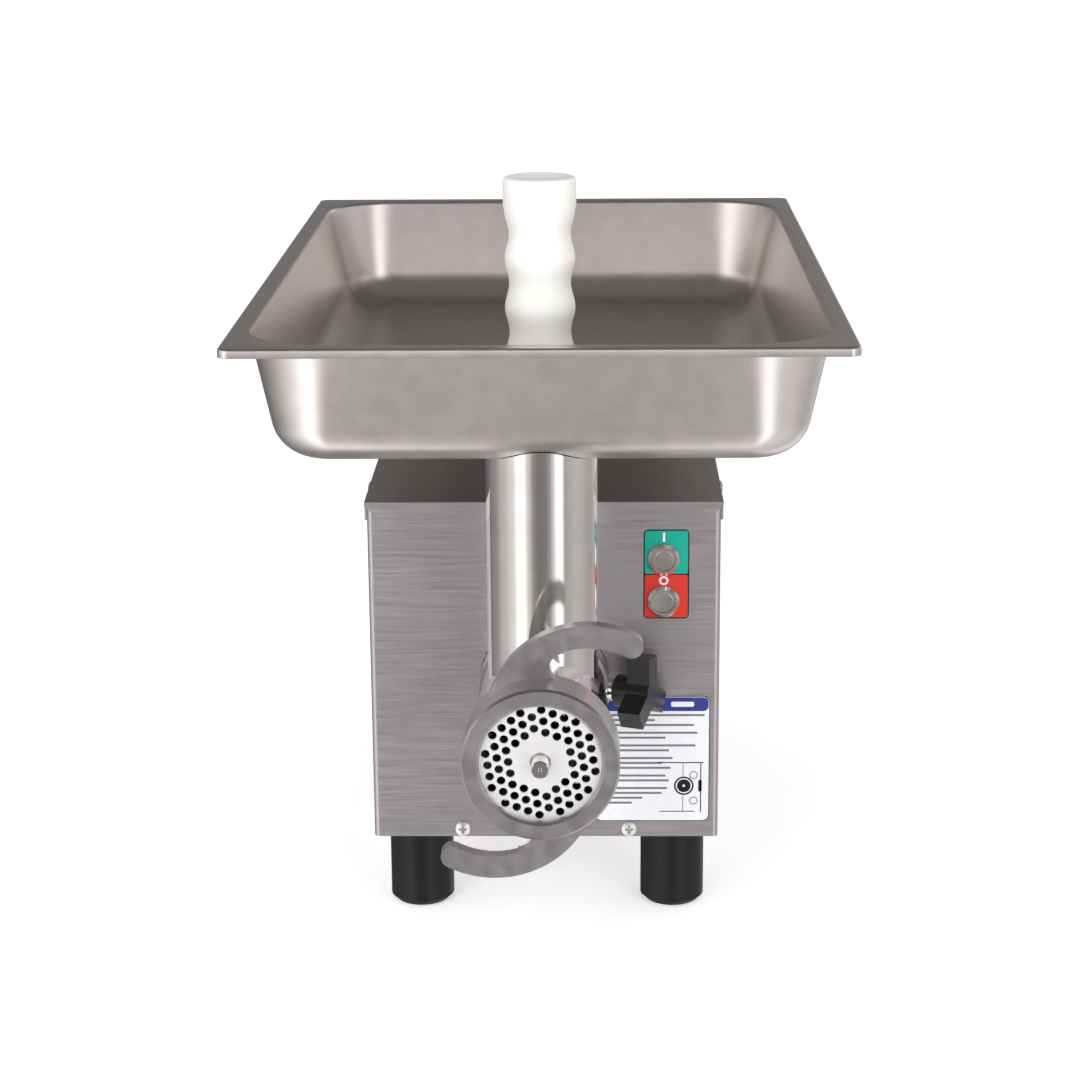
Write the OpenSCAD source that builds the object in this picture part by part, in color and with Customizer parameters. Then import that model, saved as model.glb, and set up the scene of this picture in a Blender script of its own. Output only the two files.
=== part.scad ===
// Countertop electric meat grinder: sheet metal case, clamped grinding head,
// loose feed pan and stomper, with its motor and gearbox inside.
// +Z is up, +X to the user's right, and the front faces -Y. The origin is on
// the counter, under the middle of the bounding box.

/* [Feed pan] */
// Width of the pan over its rim
pan_w = 325; // [260:1:400]
// Length of the pan over its rim
pan_l = 530; // [430:1:640]
// Depth of the pan under its rim
pan_depth = 66.8; // [50:0.1:100]
// Sheet thickness of the pan
pan_sheet = 1; // [0.8:0.1:1.5]
// Width of the flat rim
pan_rim = 11.5; // [8:0.5:16]
// Height of the rim's turned-down lip
pan_lip = 5; // [3:0.5:8]
// Corner radius inside the rim
pan_corner = 45; // [38:1:60]
// Radius between the walls and the floor
pan_floor_r = 22; // [12:1:24]
// Slope of the walls in degrees
pan_draft = 8.5; // [4:0.5:10]
// Length of the spigot that drops into the feed tube
pan_spigot = 15; // [10:1:25]

/* [Case] */
// Width of the case
case_w = 196.4; // [180:0.2:240]
// Length of the case
case_l = 340; // [330:1:420]
// Height of the case without its feet
case_h = 198; // [190:1:240]
// Sheet thickness of the case
sheet = 1.2; // [1:0.1:1.6]
// Outside radius of the bent corners
bend_r = 3; // [2:0.5:5]
// How far the cover's flaps come down
flap_h = 12.5; // [8:0.5:20]
// Distance from the pan's front edge back to the case
case_setback = 107.4; // [100:0.1:120]
// Height of the feet
foot_h = 47.7; // [30:0.1:60]
// Diameter of the feet
foot_d = 36.7; // [25:0.1:45]
// Sideways distance of each foot from the middle
foot_x = 72.9; // [60:0.1:76]
// Distance from the ends of the case in to the feet
foot_inset = 27; // [24:1:50]

/* [Grinding head] */
// Height of the barrel's axis above the counter
axis_z = 142.5; // [140:0.5:160]
// Wall of the barrel
barrel_wall = 5; // [4:0.5:7]
// Outside diameter of the feed tube
tube_od = 60; // [56:0.5:62]
// Wall of the feed tube
tube_wall = 3.8; // [3:0.1:5]
// Height of the tube's top above the barrel's axis
tube_rise = 144.1; // [140:0.1:180]
// Distance from the pan's front edge back to the tube's axis
tube_setback = 57; // [50:0.5:60]
// Wall of the socket that holds the head
socket_wall = 6.95; // [5.95:0.05:10]
// How far the socket stands out of the case
socket_len = 22.5; // [20:0.5:30]
// Diameter of the head's rear spigot
spigot_d = 58; // [54:0.5:60]
// Diameter of the grinder plate
plate_d = 70; // [68:0.5:72]
// Thickness of the grinder plate
plate_t = 9.5; // [8:0.5:12]
// Diameter of the holes in the plate
plate_hole_d = 4.5; // [3:0.1:4.8]
// Distance between neighbouring holes in the plate
plate_pitch = 6.25; // [6:0.05:6.5]
// How far the plate stands out past the barrel's bore, all round
plate_seat = 5; // [3:0.5:6]
// Wall round the plate's seat, under the thread at the barrel's mouth
thread_wall = 3; // [2.8:0.1:4]
// Wall of the ring nut over its thread
ring_wall = 2.8; // [2:0.1:5]
// Length of the ring nut
ring_len = 26; // [22:1:30]
// Thickness of the ring nut's front lip
ring_lip = 4.7; // [3:0.1:6]
// How far the ring nut's lip holds the plate, all round
ring_grip = 3.5; // [3:0.5:7]
// Thickness of the ring nut's hooks
hook_t = 8; // [6:0.5:10]
// Diameter of the auger's front stud
stud_d = 9.4; // [8:0.1:10]
// How far the stud's tip stands out of the ring nut
stud_proud = 6.3; // [2:0.1:12]
// How far the stud's tip stands out past the pan
nose_out = 38; // [30:1:50]
// Distance between turns of the auger
auger_pitch = 30; // [24:1:40]

/* [Clamp knob] */
// Angle that the knob points forward, in degrees
knob_turn = 22; // [18:1:26]
// Radius of the knob's arms
knob_r = 21; // [18:0.5:22]
// Width of the knob's arms
knob_arm = 12; // [9:0.5:14]
// Thickness of the knob
knob_t = 13; // [10:0.5:16]
// Diameter of the clamp screw's thread
screw_d = 8; // [6:0.5:8]

/* [Stomper] */
// Length of the stomper's handle above the pan's floor
handle_h = 144.4; // [120:0.1:180]
// Diameter of the handle's top
handle_d = 38; // [34:0.5:42]
// Depth of the finger grooves
groove_depth = 2.3; // [1:0.1:3]
// Distance between finger grooves
groove_pitch = 25.5; // [22:0.5:28]
// Gap between the stomper's piston and the pan's spigot, all round
piston_gap = 1.3; // [0.8:0.1:3]
// Length of the piston under the pan's floor
piston_len = 84; // [60:1:90]

/* [Controls] */
// Sideways place of the two buttons
button_x = 66.6; // [66:0.1:74]
// Height of the start button
start_z = 212.5; // [208:0.5:216]
// Distance from the start button down to the stop button
button_drop = 24.3; // [22:0.1:28]
// Diameter of the button bezels
bezel_d = 18; // [16:0.5:20]
// Diameter of the button caps
cap_d = 11.8; // [10:0.1:13]
// Travel of the buttons
button_travel = 2.5; // [1.5:0.1:3]

/* [Gear train] */
// Module of the gears
gear_module = 1.5; // [1.5:0.05:1.6]
// Teeth on the motor's pinion
teeth_motor = 14; // [14:1:14]
// Teeth on the large layshaft gear
teeth_lay_big = 50; // [50:1:50]
// Teeth on the layshaft's pinion
teeth_lay_small = 16; // [16:1:16]
// Teeth on the output gear
teeth_out = 48; // [48:1:48]
// Pressure angle of the teeth in degrees
pressure_angle = 25; // [25:1:25]
// Backlash at the pitch circle
backlash = 0.2; // [0.1:0.02:0.3]

/* [Motor] */
// Outside diameter of the motor
motor_od = 134; // [120:1:140]
// Length of the motor's laminated core
core_l = 70; // [60:1:80]
// Diameter of the rotor
rotor_d = 70; // [60:1:76]

/* [Clearances] */
// Radial clearance of running fits
running = 0.05; // [0.02:0.01:0.1]
// Radial clearance of loose fits
loose = 0.3; // [0.2:0.05:0.5]

/* [Hidden] */
$fn = 64;
eps = 0.01;

// Places along Y, from the nose back
total_l = pan_l + nose_out;
tip_y = -total_l / 2;
pan_front = tip_y + nose_out;
pan_mid = pan_front + pan_l / 2;
case_front = pan_front + case_setback;
case_back = case_front + case_l;
tube_y = pan_front + tube_setback;
ring_face = tip_y + stud_proud;
plate_face = ring_face + ring_lip;
plate_back = plate_face + plate_t;
socket_face = case_front - socket_len;

// Heights
case_top = foot_h + case_h;
pan_under = axis_z + tube_rise;
pan_floor = pan_under + pan_sheet;
pan_top = pan_under + pan_depth;

// Grinding head
barrel_bore = plate_d - 2 * plate_seat;
barrel_od = barrel_bore + 2 * barrel_wall;
socket_od = spigot_d + 2 * running + 2 * socket_wall;
thread_d = plate_d + 0.4 + 2 * thread_wall;
ring_d = thread_d + 2 * ring_wall;
ring_mouth = plate_d - 2 * ring_grip;
body_r = max(socket_od, barrel_od) / 2;
seat_lip = 1;
knife_t = 9;
knife_gap = 0.2;
seat_d = plate_d + 0.4;
knife_room_d = barrel_bore + 6;
knife_room_end = plate_back + knife_t + 2;
thread_back = ring_face + ring_len + 6;
head_front = plate_face + seat_lip;
bulkhead_front = socket_face - 8;
bush_len = 12;
bush_od = 31;
journal_d = 25;
washer_t = 2;
tang = 15;
tang_len = 16;
spigot_end = case_front + 3.5;
spigot_bore = 42;
socket_bore = spigot_d + 2 * running;

// Drive line, measured from the case front
cover_front = case_front + sheet + 0.3;
cover_t = 10;
cover_back = cover_front + cover_t;
socket_seat = 4;
nose_front = case_front - 13;
nose_d = 34;
out_bearing_od = 47;
out_bearing_w = 12;
out_rear_od = 35;
out_rear_w = 10;
out_rear_d = 17;
lay_d = 15;
lay_bearing_od = 35;
lay_bearing_w = 11;
boss_back = cover_back + out_bearing_w;
out_gear_y = boss_back + 3;
out_gear_w = 20;
web_y = out_gear_y + out_gear_w + 3;
big_gear_y = web_y + out_rear_w + 3;
big_gear_w = 13;
rear_wall_y = big_gear_y + big_gear_w + 4;
rear_wall_t = 12;
motor_y = rear_wall_y + rear_wall_t;
centres = gear_module * (teeth_motor + teeth_lay_big) / 2;
lay_z = axis_z - centres;
box_r = gear_module * (teeth_lay_big + 2) / 2 + 5;
box_wall = 3.5;
motor_shaft_d = 17;
pinion_bore = 12;

// Motor, measured from its front face
bell_t = 12;
winding_l = 12;
core_y = motor_y + bell_t + winding_l + 4;
motor_rear = core_y + core_l + winding_l + 4;
motor_end = motor_rear + bell_t;
motor_wall = 3;
air_gap = 0.4;
fan_d = 96;
fan_y = motor_end + 4;
fan_w = 12;

// Controls on the front panel
bezel_h = 3.5;
collar_d = 12;
switch_len = 40;
label_t = 0.3;

// Clamp screw's line: it crosses the barrel's axis behind the socket's face
clamp_y = case_front - 2.4;

// ---- Placing helpers ----
// Turned pieces: their own Z runs back along Y
module along_y(y, z = axis_z) { translate([0, y, z]) rotate([-90, 0, 0]) children(); }
// Outlines drawn as seen from the front, thickened towards the back by t
module seen_from_front(y, t, z = axis_z) {
  translate([0, y + t, z]) rotate([90, 0, 0]) linear_extrude(t) children();
}
// Pieces on the clamp screw's line: their own Z runs out from the barrel's axis
module on_clamp() { translate([0, clamp_y, axis_z]) rotate([0, 90, -knob_turn]) children(); }
module pipe(od, id, h) {
  difference() { cylinder(d = od, h = h); translate([0, 0, -1]) cylinder(d = id, h = h + 2); }
}
module ring2d(od, id) { difference() { circle(d = od); circle(d = id); } }
module both_sides() { children(); mirror([1, 0, 0]) children(); }
// A rectangle centred on the origin with round corners, made of true arcs
module round_rect(w, l, r) {
  square([w - 2 * r, l], center = true);
  square([w, l - 2 * r], center = true);
  for (x = [-1, 1], y = [-1, 1]) translate([x * (w / 2 - r), y * (l / 2 - r)]) circle(r);
}
// A screw with a domed, cross-recessed head, its shank along -Z and the head's seat at 0
module pan_head_screw(head_d, shank_d, len) {
  head_h = head_d * 0.32;
  difference() {
    intersection() {
      cylinder(d = head_d, h = head_h);
      translate([0, 0, head_h - head_d]) sphere(head_d);
    }
    for (a = [0, 90]) rotate(a)
      translate([-head_d * 0.28, -head_d * 0.06, head_h * 0.45]) cube([head_d * 0.56, head_d * 0.12, head_h]);
  }
  translate([0, 0, -len]) cylinder(d = shank_d, h = len + eps);
}
// A sealed ball bearing: two races with a recessed shield between them
module ball_bearing(od, id, w) {
  mid = (od + id) / 2;
  race = (od - id) * 0.14;
  rotate_extrude() polygon([
    [id / 2, 0], [id / 2 + race, 0], [id / 2 + race, 0.6], [od / 2 - race, 0.6], [od / 2 - race, 0],
    [od / 2, 0], [od / 2, w], [od / 2 - race, w], [od / 2 - race, w - 0.6],
    [id / 2 + race, w - 0.6], [id / 2 + race, w], [id / 2, w]
  ]);
}

// ---- Involute gears ----
function involute(rb, t) = rb * [cos(t) + t * PI / 180 * sin(t), sin(t) - t * PI / 180 * cos(t)];
function roll_at(rb, r) = r <= rb ? 0 : sqrt(pow(r / rb, 2) - 1) * 180 / PI;
function turned(p, a) = [p[0] * cos(a) - p[1] * sin(a), p[0] * sin(a) + p[1] * cos(a)];
function flank(rb, r0, r1, a, n) = [for (i = [0:n]) turned(involute(rb, roll_at(rb, r0 + (r1 - r0) * i / n)), a)];
function back_to_front(v) = [for (i = [len(v) - 1:-1:0]) v[i]];
module gear_outline(teeth) {
  rp = gear_module * teeth / 2;
  ra = rp + gear_module;
  rf = rp - 1.25 * gear_module;
  rb = rp * cos(pressure_angle);
  r0 = max(rb, rf);
  half_tooth = 90 / teeth - backlash / 4 / rp * 180 / PI;
  at_pitch = tan(pressure_angle) * 180 / PI - pressure_angle;
  side = flank(rb, r0, ra, -half_tooth - at_pitch, 3);
  tooth = concat(side, back_to_front([for (p = side) [p[0], -p[1]]]));
  root = turned([rf, 0], -half_tooth - at_pitch);
  polygon([for (k = [0:teeth - 1]) for (p = concat([root], tooth, [[root[0], -root[1]]]))
    turned(p, k * 360 / teeth)]);
}
module gear(teeth, width, bore) {
  linear_extrude(width) difference() { gear_outline(teeth); circle(d = bore); }
}

// ---- Case ----
front_screw_x = 47.5;
front_screw_z = foot_h + 4.9;
front_screw_d = 8.4;
cover_screw_y = 55;
side_flap_h = 11;
inner_w = case_w - 2 * sheet;
panel_top = case_top - sheet;
// Bent sheet: the front and both sides in one piece
module case_wrap() {
  color("silver") difference() {
    translate([0, 0, foot_h]) linear_extrude(panel_top - foot_h) difference() {
      wrap_outline(0, bend_r, 0);
      wrap_outline(sheet, bend_r - sheet, eps);
    }
    along_y(case_front - 1) cylinder(d = socket_od + 2 * loose, h = sheet + 2);
    for (z = [start_z, start_z - button_drop]) translate([button_x, 0, 0])
      along_y(case_front - 1, z) cylinder(d = 12 + 2 * loose, h = sheet + 2);
    both_sides() translate([front_screw_x, 0, 0])
      along_y(case_front - 1, front_screw_z) cylinder(d = 4.5, h = 4);
    both_sides() for (y = [case_front + cover_screw_y, case_back - cover_screw_y])
      translate([case_w / 2 - 4, y, case_top - flap_h / 2]) rotate([0, 90, 0]) cylinder(d = 4.5, h = 6);
  }
}
module wrap_outline(inset, r, past) {
  x = case_w / 2 - inset;
  y0 = case_front + inset;
  y1 = case_back + past;
  translate([-x, y0 + r]) square([2 * x, y1 - y0 - r]);
  translate([-x + r, y0]) square([2 * (x - r), 2 * r]);
  for (s = [-1, 1]) translate([s * (x - r), y0 + r]) circle(r);
}
// Cover: a flat sheet with flaps turned down over the front, back and sides
module top_cover() {
  w = case_w + 2 * sheet;
  color("silver") {
    translate([-w / 2, case_front - sheet, panel_top]) cube([w, case_l + 2 * sheet, sheet]);
    for (y = [case_front - sheet, case_back]) seen_from_front(y, sheet, 0) polygon([
      [-w / 2, case_top], [-w / 2, panel_top - 1], [-w / 2 + flap_h - 1, case_top - flap_h],
      [w / 2 - flap_h + 1, case_top - flap_h], [w / 2, panel_top - 1], [w / 2, case_top]
    ]);
    difference() {
      both_sides() translate([case_w / 2, case_front + 2, case_top - side_flap_h])
        cube([sheet, case_l - 4, side_flap_h]);
      both_sides() for (y = [case_front + cover_screw_y, case_back - cover_screw_y])
        translate([case_w / 2 - 1, y, case_top - flap_h / 2]) rotate([0, 90, 0]) cylinder(d = 4.5, h = 6);
    }
  }
}
gland_x = -60;
gland_z = foot_h + 34;
gland_d = 20;
// Rear panel between the sides, with rows of slots for the motor's air
module rear_panel() {
  slot_w = 44;
  slot_h = 4;
  color("silver") difference() {
    translate([-inner_w / 2 + 0.1, case_back - sheet, foot_h])
      cube([inner_w - 0.2, sheet, panel_top - foot_h]);
    both_sides() for (i = [0:6]) translate([slot_w / 2 + 8, 0, 0])
      seen_from_front(case_back - 2, 4, axis_z - 8 + i * 11) slot_outline(slot_w, slot_h);
    translate([gland_x, 0, 0]) along_y(case_back - 3, gland_z) cylinder(d = gland_d + 2 * running, h = 6);
  }
}
module slot_outline(w, h) {
  square([w - h, h], center = true);
  for (s = [-1, 1]) translate([s * (w - h) / 2, 0]) circle(d = h);
}
gearbox_screw_x = 42;
// Base: a tray inside the wrap, flanged up behind the front panel
module base_plate() {
  flange = 14;
  color("silver") difference() {
    translate([0, 0, foot_h]) linear_extrude(flange)
      wrap_outline(sheet + 0.1, bend_r - sheet, -sheet - 0.1);
    translate([-inner_w / 2 + 0.1 + sheet, case_front + 2 * sheet + 0.1, foot_h + sheet])
      cube([inner_w - 0.2 - 2 * sheet, case_l, flange]);
    seen_from_front(case_front - 1, 12, axis_z) translate([0, -centres]) circle(r = box_r + 1);
    both_sides() translate([front_screw_x, 0, 0])
      along_y(case_front, front_screw_z) cylinder(d = 4.2, h = 6);
    for (p = foot_places()) translate([p[0], p[1], foot_h - 1]) cylinder(d = 6.5, h = 4);
    for (p = gearbox_screw_places()) translate([p[0], p[1], foot_h - 1]) cylinder(d = 5.5, h = 4);
  }
}
function foot_places() = [for (x = [-1, 1], y = [case_front + foot_inset, case_back - foot_inset])
  [x * foot_x, y]];
function gearbox_screw_places() = [for (x = [-1, 1], y = [cover_back + 8, rear_wall_y + 2])
  [x * gearbox_screw_x, y]];
module feet() {
  edge = 3;
  color("dimgray") for (p = foot_places()) translate([p[0], p[1], 0]) difference() {
    union() {
      translate([0, 0, edge]) cylinder(d = foot_d, h = foot_h - edge);
      cylinder(d1 = foot_d - 2 * edge, d2 = foot_d - 0.3 * edge, h = edge);
    }
    translate([0, 0, -1]) cylinder(d = 13, h = 13);
    cylinder(d = 6.5, h = foot_h + 1);
  }
}
module foot_screws() {
  color("silver") for (p = foot_places()) translate([p[0], p[1], 12]) mirror([0, 0, 1]) {
    translate([0, 0, 0.05]) cylinder(d = 10, h = 5);
    translate([0, 0, -(foot_h - 12) - sheet - 6]) cylinder(d = 6, h = foot_h - 12 + sheet + 6.1);
  }
}
// Two screws low on the front, and two through each of the top cover's flaps
module case_screws() {
  color("silver") both_sides() {
    translate([front_screw_x, case_front, front_screw_z]) rotate([90, 0, 0])
      pan_head_screw(front_screw_d, 4, 9);
    for (y = [case_front + cover_screw_y, case_back - cover_screw_y])
      translate([case_w / 2 + sheet, y, case_top - flap_h / 2]) rotate([0, 90, 0])
        pan_head_screw(7.6, 4, 8);
  }
}
// Rest: a bent bracket on the cover that carries the pan's back
rest_y = case_back - 110;
rest_w = 150;
rest_l = 60;
pad_t = 4;
rest_top = pan_under - 0.3 - pad_t;
module pan_rest() {
  color("silver") {
    translate([-rest_w / 2, rest_y, rest_top - 2]) cube([rest_w, rest_l, 2]);
    both_sides() {
      translate([rest_w / 2 - 2, rest_y, case_top]) cube([2, rest_l, rest_top - case_top]);
      translate([rest_w / 2 - 2, rest_y, case_top]) cube([14, rest_l, 2]);
    }
  }
}
module pan_rest_pads() {
  color("black") both_sides() for (y = [12, rest_l - 12])
    translate([rest_w / 2 - 20, rest_y + y, rest_top]) cylinder(d = 14, h = pad_t);
}

// ---- Drive line ----
// Socket: the tube on the case's front that the head's spigot slides into
module head_socket() {
  color("gainsboro") difference() {
    union() {
      along_y(socket_face) cylinder(d = socket_od, h = cover_front + socket_seat - socket_face);
      on_clamp() translate([0, 0, spigot_d / 2]) cylinder(d = clamp_boss_d, h = boss_r - spigot_d / 2);
    }
    along_y(socket_face - 1) cylinder(d = socket_bore, h = cover_front - socket_face + 2 + socket_seat);
    along_y(socket_face - eps) cylinder(d1 = socket_bore + 2, d2 = socket_bore, h = 1);
    along_y(socket_face - 20) cylinder(d = barrel_od + 2 * loose, h = 20);
    on_clamp() translate([0, 0, spigot_d / 2 - 3])
      cylinder(d = screw_d + 2 * running, h = boss_r - spigot_d / 2 + 6);
  }
}
module box_outline(r) {
  circle(r);
  translate([0, -centres]) circle(r);
  translate([-r, -centres]) square([2 * r, centres]);
}
lug_len = 14;
// One circle of diameter d in each of the gearbox's four lugs
module box_lugs(d) { for (s = [-1, 1], z = [0, -centres]) translate([s * (box_r + 2), z]) circle(d = d); }
// Front cover of the gearbox, with the seats of the front bearings and the seal
module gearbox_cover() {
  color("lightslategray") difference() {
    union() {
      seen_from_front(cover_front, cover_t) { box_outline(box_r); box_lugs(13); }
      along_y(cover_back - eps) cylinder(d = out_bearing_od + 10, h = out_bearing_w + eps);
      along_y(cover_back - eps, lay_z) cylinder(d = lay_bearing_od + 6, h = lay_bearing_w - 2 + eps);
    }
    along_y(cover_front - 1) cylinder(d = socket_od + 2 * running, h = socket_seat + 1);
    along_y(cover_front) cylinder(d = 40 + 2 * running, h = cover_t + 1);
    along_y(cover_back) cylinder(d = out_bearing_od + 2 * running, h = out_bearing_w + 1);
    along_y(cover_back - 2, lay_z) cylinder(d = lay_bearing_od + 2 * running, h = lay_bearing_w + 1);
    seen_from_front(cover_front - 1, cover_t + 2) box_lugs(5.2);
    seen_from_front(cover_front - 1, 6.2) box_lugs(9);
  }
}
// Housing: rear wall and side walls in one casting, with a foot on the base
module gearbox_housing() {
  foot_w = 2 * gearbox_screw_x + 14;
  len = motor_y - cover_back;
  color("lightslategray") difference() {
    union() {
      seen_from_front(cover_back, len) box_outline(box_r);
      seen_from_front(cover_back, lug_len) box_lugs(13);
      translate([-foot_w / 2, cover_back, foot_h + sheet]) cube([foot_w, len, 9]);
    }
    seen_from_front(cover_back - 1, rear_wall_y - cover_back + 1) box_outline(box_r - box_wall);
    along_y(rear_wall_y - 1) cylinder(d = 40 + 2 * running, h = rear_wall_t + 2);
    along_y(rear_wall_y - 1, lay_z) cylinder(d = lay_bearing_od + 2 * running, h = lay_bearing_w + 1);
    seen_from_front(cover_back - 1, lug_len - 1) box_lugs(5);
    for (p = gearbox_screw_places()) translate([p[0], p[1], foot_h]) cylinder(d = 5, h = 9);
  }
}
// Four screws up through the base plate, and the cap screws that hold the gearbox cover
module gearbox_screws() {
  color("silver") {
    for (p = gearbox_screw_places()) translate([p[0], p[1], foot_h]) mirror([0, 0, 1])
      pan_head_screw(9, 5, 8.5);
    seen_from_front(cover_front + 0.2, 5) box_lugs(8.5);
    seen_from_front(cover_front + 5, 16) box_lugs(5);
  }
}
// Web: the plate inside the housing that carries the drive shaft's rear bearing
module bearing_web() {
  color("lightslategray") difference() {
    seen_from_front(web_y, out_rear_w) box_outline(box_r - box_wall - running);
    along_y(web_y - 1) cylinder(d = out_rear_od + 2 * running, h = out_rear_w + 2);
    along_y(web_y - 1, lay_z) cylinder(d = lay_d + 8, h = out_rear_w + 2);
  }
}
module output_bearings() {
  color("silver") {
    along_y(cover_back) ball_bearing(out_bearing_od, journal_d + 2 * running, out_bearing_w);
    along_y(web_y) ball_bearing(out_rear_od, out_rear_d + 2 * running, out_rear_w);
  }
}
module layshaft_bearings() {
  color("silver") for (y = [cover_back - 2, rear_wall_y])
    along_y(y, lay_z) ball_bearing(lay_bearing_od, lay_d - 2 + 2 * running, lay_bearing_w);
}
module shaft_seal() {
  color("sienna") along_y(cover_front + socket_seat) pipe(40, journal_d + 2 * running, 5);
}
// Drive shaft: a socketed nose, the seal and bearing journals, and the gear's seat
module drive_shaft() {
  color("silver") difference() {
    union() {
      along_y(nose_front) cylinder(d = nose_d, h = cover_front + 2 - nose_front);
      along_y(cover_front) cylinder(d = journal_d, h = web_y - cover_front);
      along_y(web_y - eps) cylinder(d = out_rear_d, h = out_rear_w + eps);
    }
    along_y(nose_front - 1) linear_extrude(tang_len) square(tang + 4 * running, center = true);
  }
}
module output_gear() {
  color("gray") along_y(out_gear_y) {
    rotate(180 / teeth_out) gear(teeth_out, out_gear_w, journal_d);
  }
}
// Layshaft, with its small pinion cut on it
module layshaft() {
  color("silver") {
    along_y(cover_back - 2, lay_z) cylinder(d = lay_d - 2, h = rear_wall_y + lay_bearing_w - cover_back + 2);
    along_y(cover_back + lay_bearing_w - 1.5, lay_z)
      cylinder(d = lay_d, h = rear_wall_y - cover_back - lay_bearing_w + 1);
    along_y(out_gear_y, lay_z) rotate(90) gear(teeth_lay_small, out_gear_w, lay_d - 1);
  }
}
module layshaft_gear() {
  color("gray") along_y(big_gear_y, lay_z)
    rotate(90) gear(teeth_lay_big, big_gear_w, lay_d);
}
module motor_pinion() {
  color("gray") along_y(big_gear_y - 0.5) rotate(90 + 180 / teeth_motor) gear(teeth_motor, big_gear_w + 1, pinion_bore);
}

// ---- Motor ----
module motor_shaft() {
  color("silver") {
    along_y(big_gear_y - 1) cylinder(d = pinion_bore, h = rear_wall_y - big_gear_y + 1);
    along_y(rear_wall_y - 1) cylinder(d = motor_shaft_d, h = fan_y + fan_w + 3 - rear_wall_y);
  }
}
module rotor_core() {
  color("darkgray") along_y(core_y) {
    pipe(rotor_d, motor_shaft_d, core_l);
    translate([0, 0, -5]) pipe(rotor_d - 8, rotor_d - 22, 5 + eps);
    translate([0, 0, core_l - eps]) pipe(rotor_d - 8, rotor_d - 22, 5 + eps);
  }
}
module cooling_fan() {
  blades = 8;
  color("black") along_y(fan_y) {
    pipe(30, motor_shaft_d, fan_w);
    pipe(fan_d, 26, 2);
    for (i = [0:blades - 1]) rotate(i * 360 / blades)
      translate([14, -1, 1]) cube([fan_d / 2 - 15, 2, fan_w - 1]);
  }
}
module motor_bearings() {
  color("silver") {
    along_y(rear_wall_y) ball_bearing(40, motor_shaft_d + 2 * running, rear_wall_t);
    along_y(motor_rear) ball_bearing(40, motor_shaft_d + 2 * running, bell_t);
  }
}
module motor_housing() {
  color("lightslategray") along_y(motor_y + bell_t)
    pipe(motor_od, motor_od - 2 * motor_wall, motor_rear - motor_y - bell_t);
}
module motor_end_bells() {
  color("lightslategray") {
    along_y(motor_y) end_bell(motor_shaft_d + 10);
    along_y(motor_rear) end_bell(40 + 2 * running);
  }
}
module end_bell(bore) {
  difference() { pipe(motor_od, bore, bell_t); tie_bolts(bell_t + 1, bolt_d + 0.4); }
}
bolt_d = 4;
// Four straight bolts of diameter d between the bells
module tie_bolts(h, d) {
  for (a = [45:90:315]) rotate(a) translate([motor_od / 2 - 7.5, 0, -0.5]) cylinder(d = d, h = h);
}
module motor_tie_bolts() {
  color("silver") along_y(motor_y + 0.5) {
    tie_bolts(motor_end - motor_y + 3, bolt_d);
    translate([0, 0, motor_end - motor_y]) tie_bolts(3, 8);
  }
}
// Laminated core with open slots round its bore
module stator_core() {
  slots = 24;
  color("gray") along_y(core_y) linear_extrude(core_l) difference() {
    circle(d = motor_od - 2 * motor_wall - 0.1);
    circle(d = rotor_d + 2 * air_gap);
    for (i = [0:slots - 1]) rotate(i * 360 / slots) {
      translate([rotor_d / 2, -1]) square([7, 2]);
      translate([rotor_d / 2 + 5, -2.2]) square([14, 4.4]);
    }
    for (a = [45:90:315]) rotate(a) translate([motor_od / 2 - 7.5, 0]) circle(d = bolt_d + 0.4);
  }
}
module stator_windings() {
  color("chocolate") for (y = [core_y - winding_l - 0.5, core_y + core_l + 0.5])
    along_y(y) rotate_extrude() translate([rotor_d / 2 + 13, winding_l / 2]) {
      circle(d = winding_l);
      translate([-3, -winding_l / 2]) square([6, winding_l]);
    }
}
// Cradle: a folded saddle that carries the motor's tail on the base
module motor_cradle() {
  y = core_y + core_l - 20;
  w = 90;
  color("silver") translate([-w / 2, y, foot_h + sheet]) difference() {
    cube([w, 26, axis_z - foot_h - sheet - 30]);
    translate([3, 3, 3]) cube([w - 6, 20, 200]);
    translate([w / 2, -1, axis_z - foot_h - sheet]) rotate([-90, 0, 0]) cylinder(d = motor_od + 0.1, h = 40);
  }
}

// ---- Electrics ----
tray_y = case_back - 84;
tray_t = 1.5;
can_d = 30;
can_room = can_d / 2 + 5;
module electrical_tray() {
  color("gainsboro") {
    translate([-30, tray_y, foot_h + sheet]) cube([110, tray_t, 120]);
    translate([-30, tray_y, foot_h + sheet]) cube([110, 30, tray_t]);
  }
}
module run_capacitor() {
  color("white") translate([62, tray_y + tray_t + 1 + can_room, foot_h + sheet + tray_t]) {
    cylinder(d = can_d, h = 90);
    translate([0, 0, 2]) cylinder(d = can_d + 4, h = 84);
    for (s = [-1, 1]) translate([s * 7 - 2, -0.5, 89]) cube([4, 1, 10]);
  }
}
module capacitor_clamp() {
  color("silver") translate([62, tray_y + tray_t + 1 + can_room, foot_h + 50]) {
    pipe(can_d + 8, can_d + 4 + 2 * running, 12);
    translate([-12, -can_room - 1, 0]) cube([24, 3.8, 12]);
  }
}
module contactor() {
  color("black") translate([-26, tray_y + tray_t, foot_h + 52]) difference() {
    cube([46, 52, 66]);
    for (i = [0:3], z = [-1, 52]) translate([4 + i * 10.5, 40, z]) cube([7, 13, 15]);
  }
}

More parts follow.
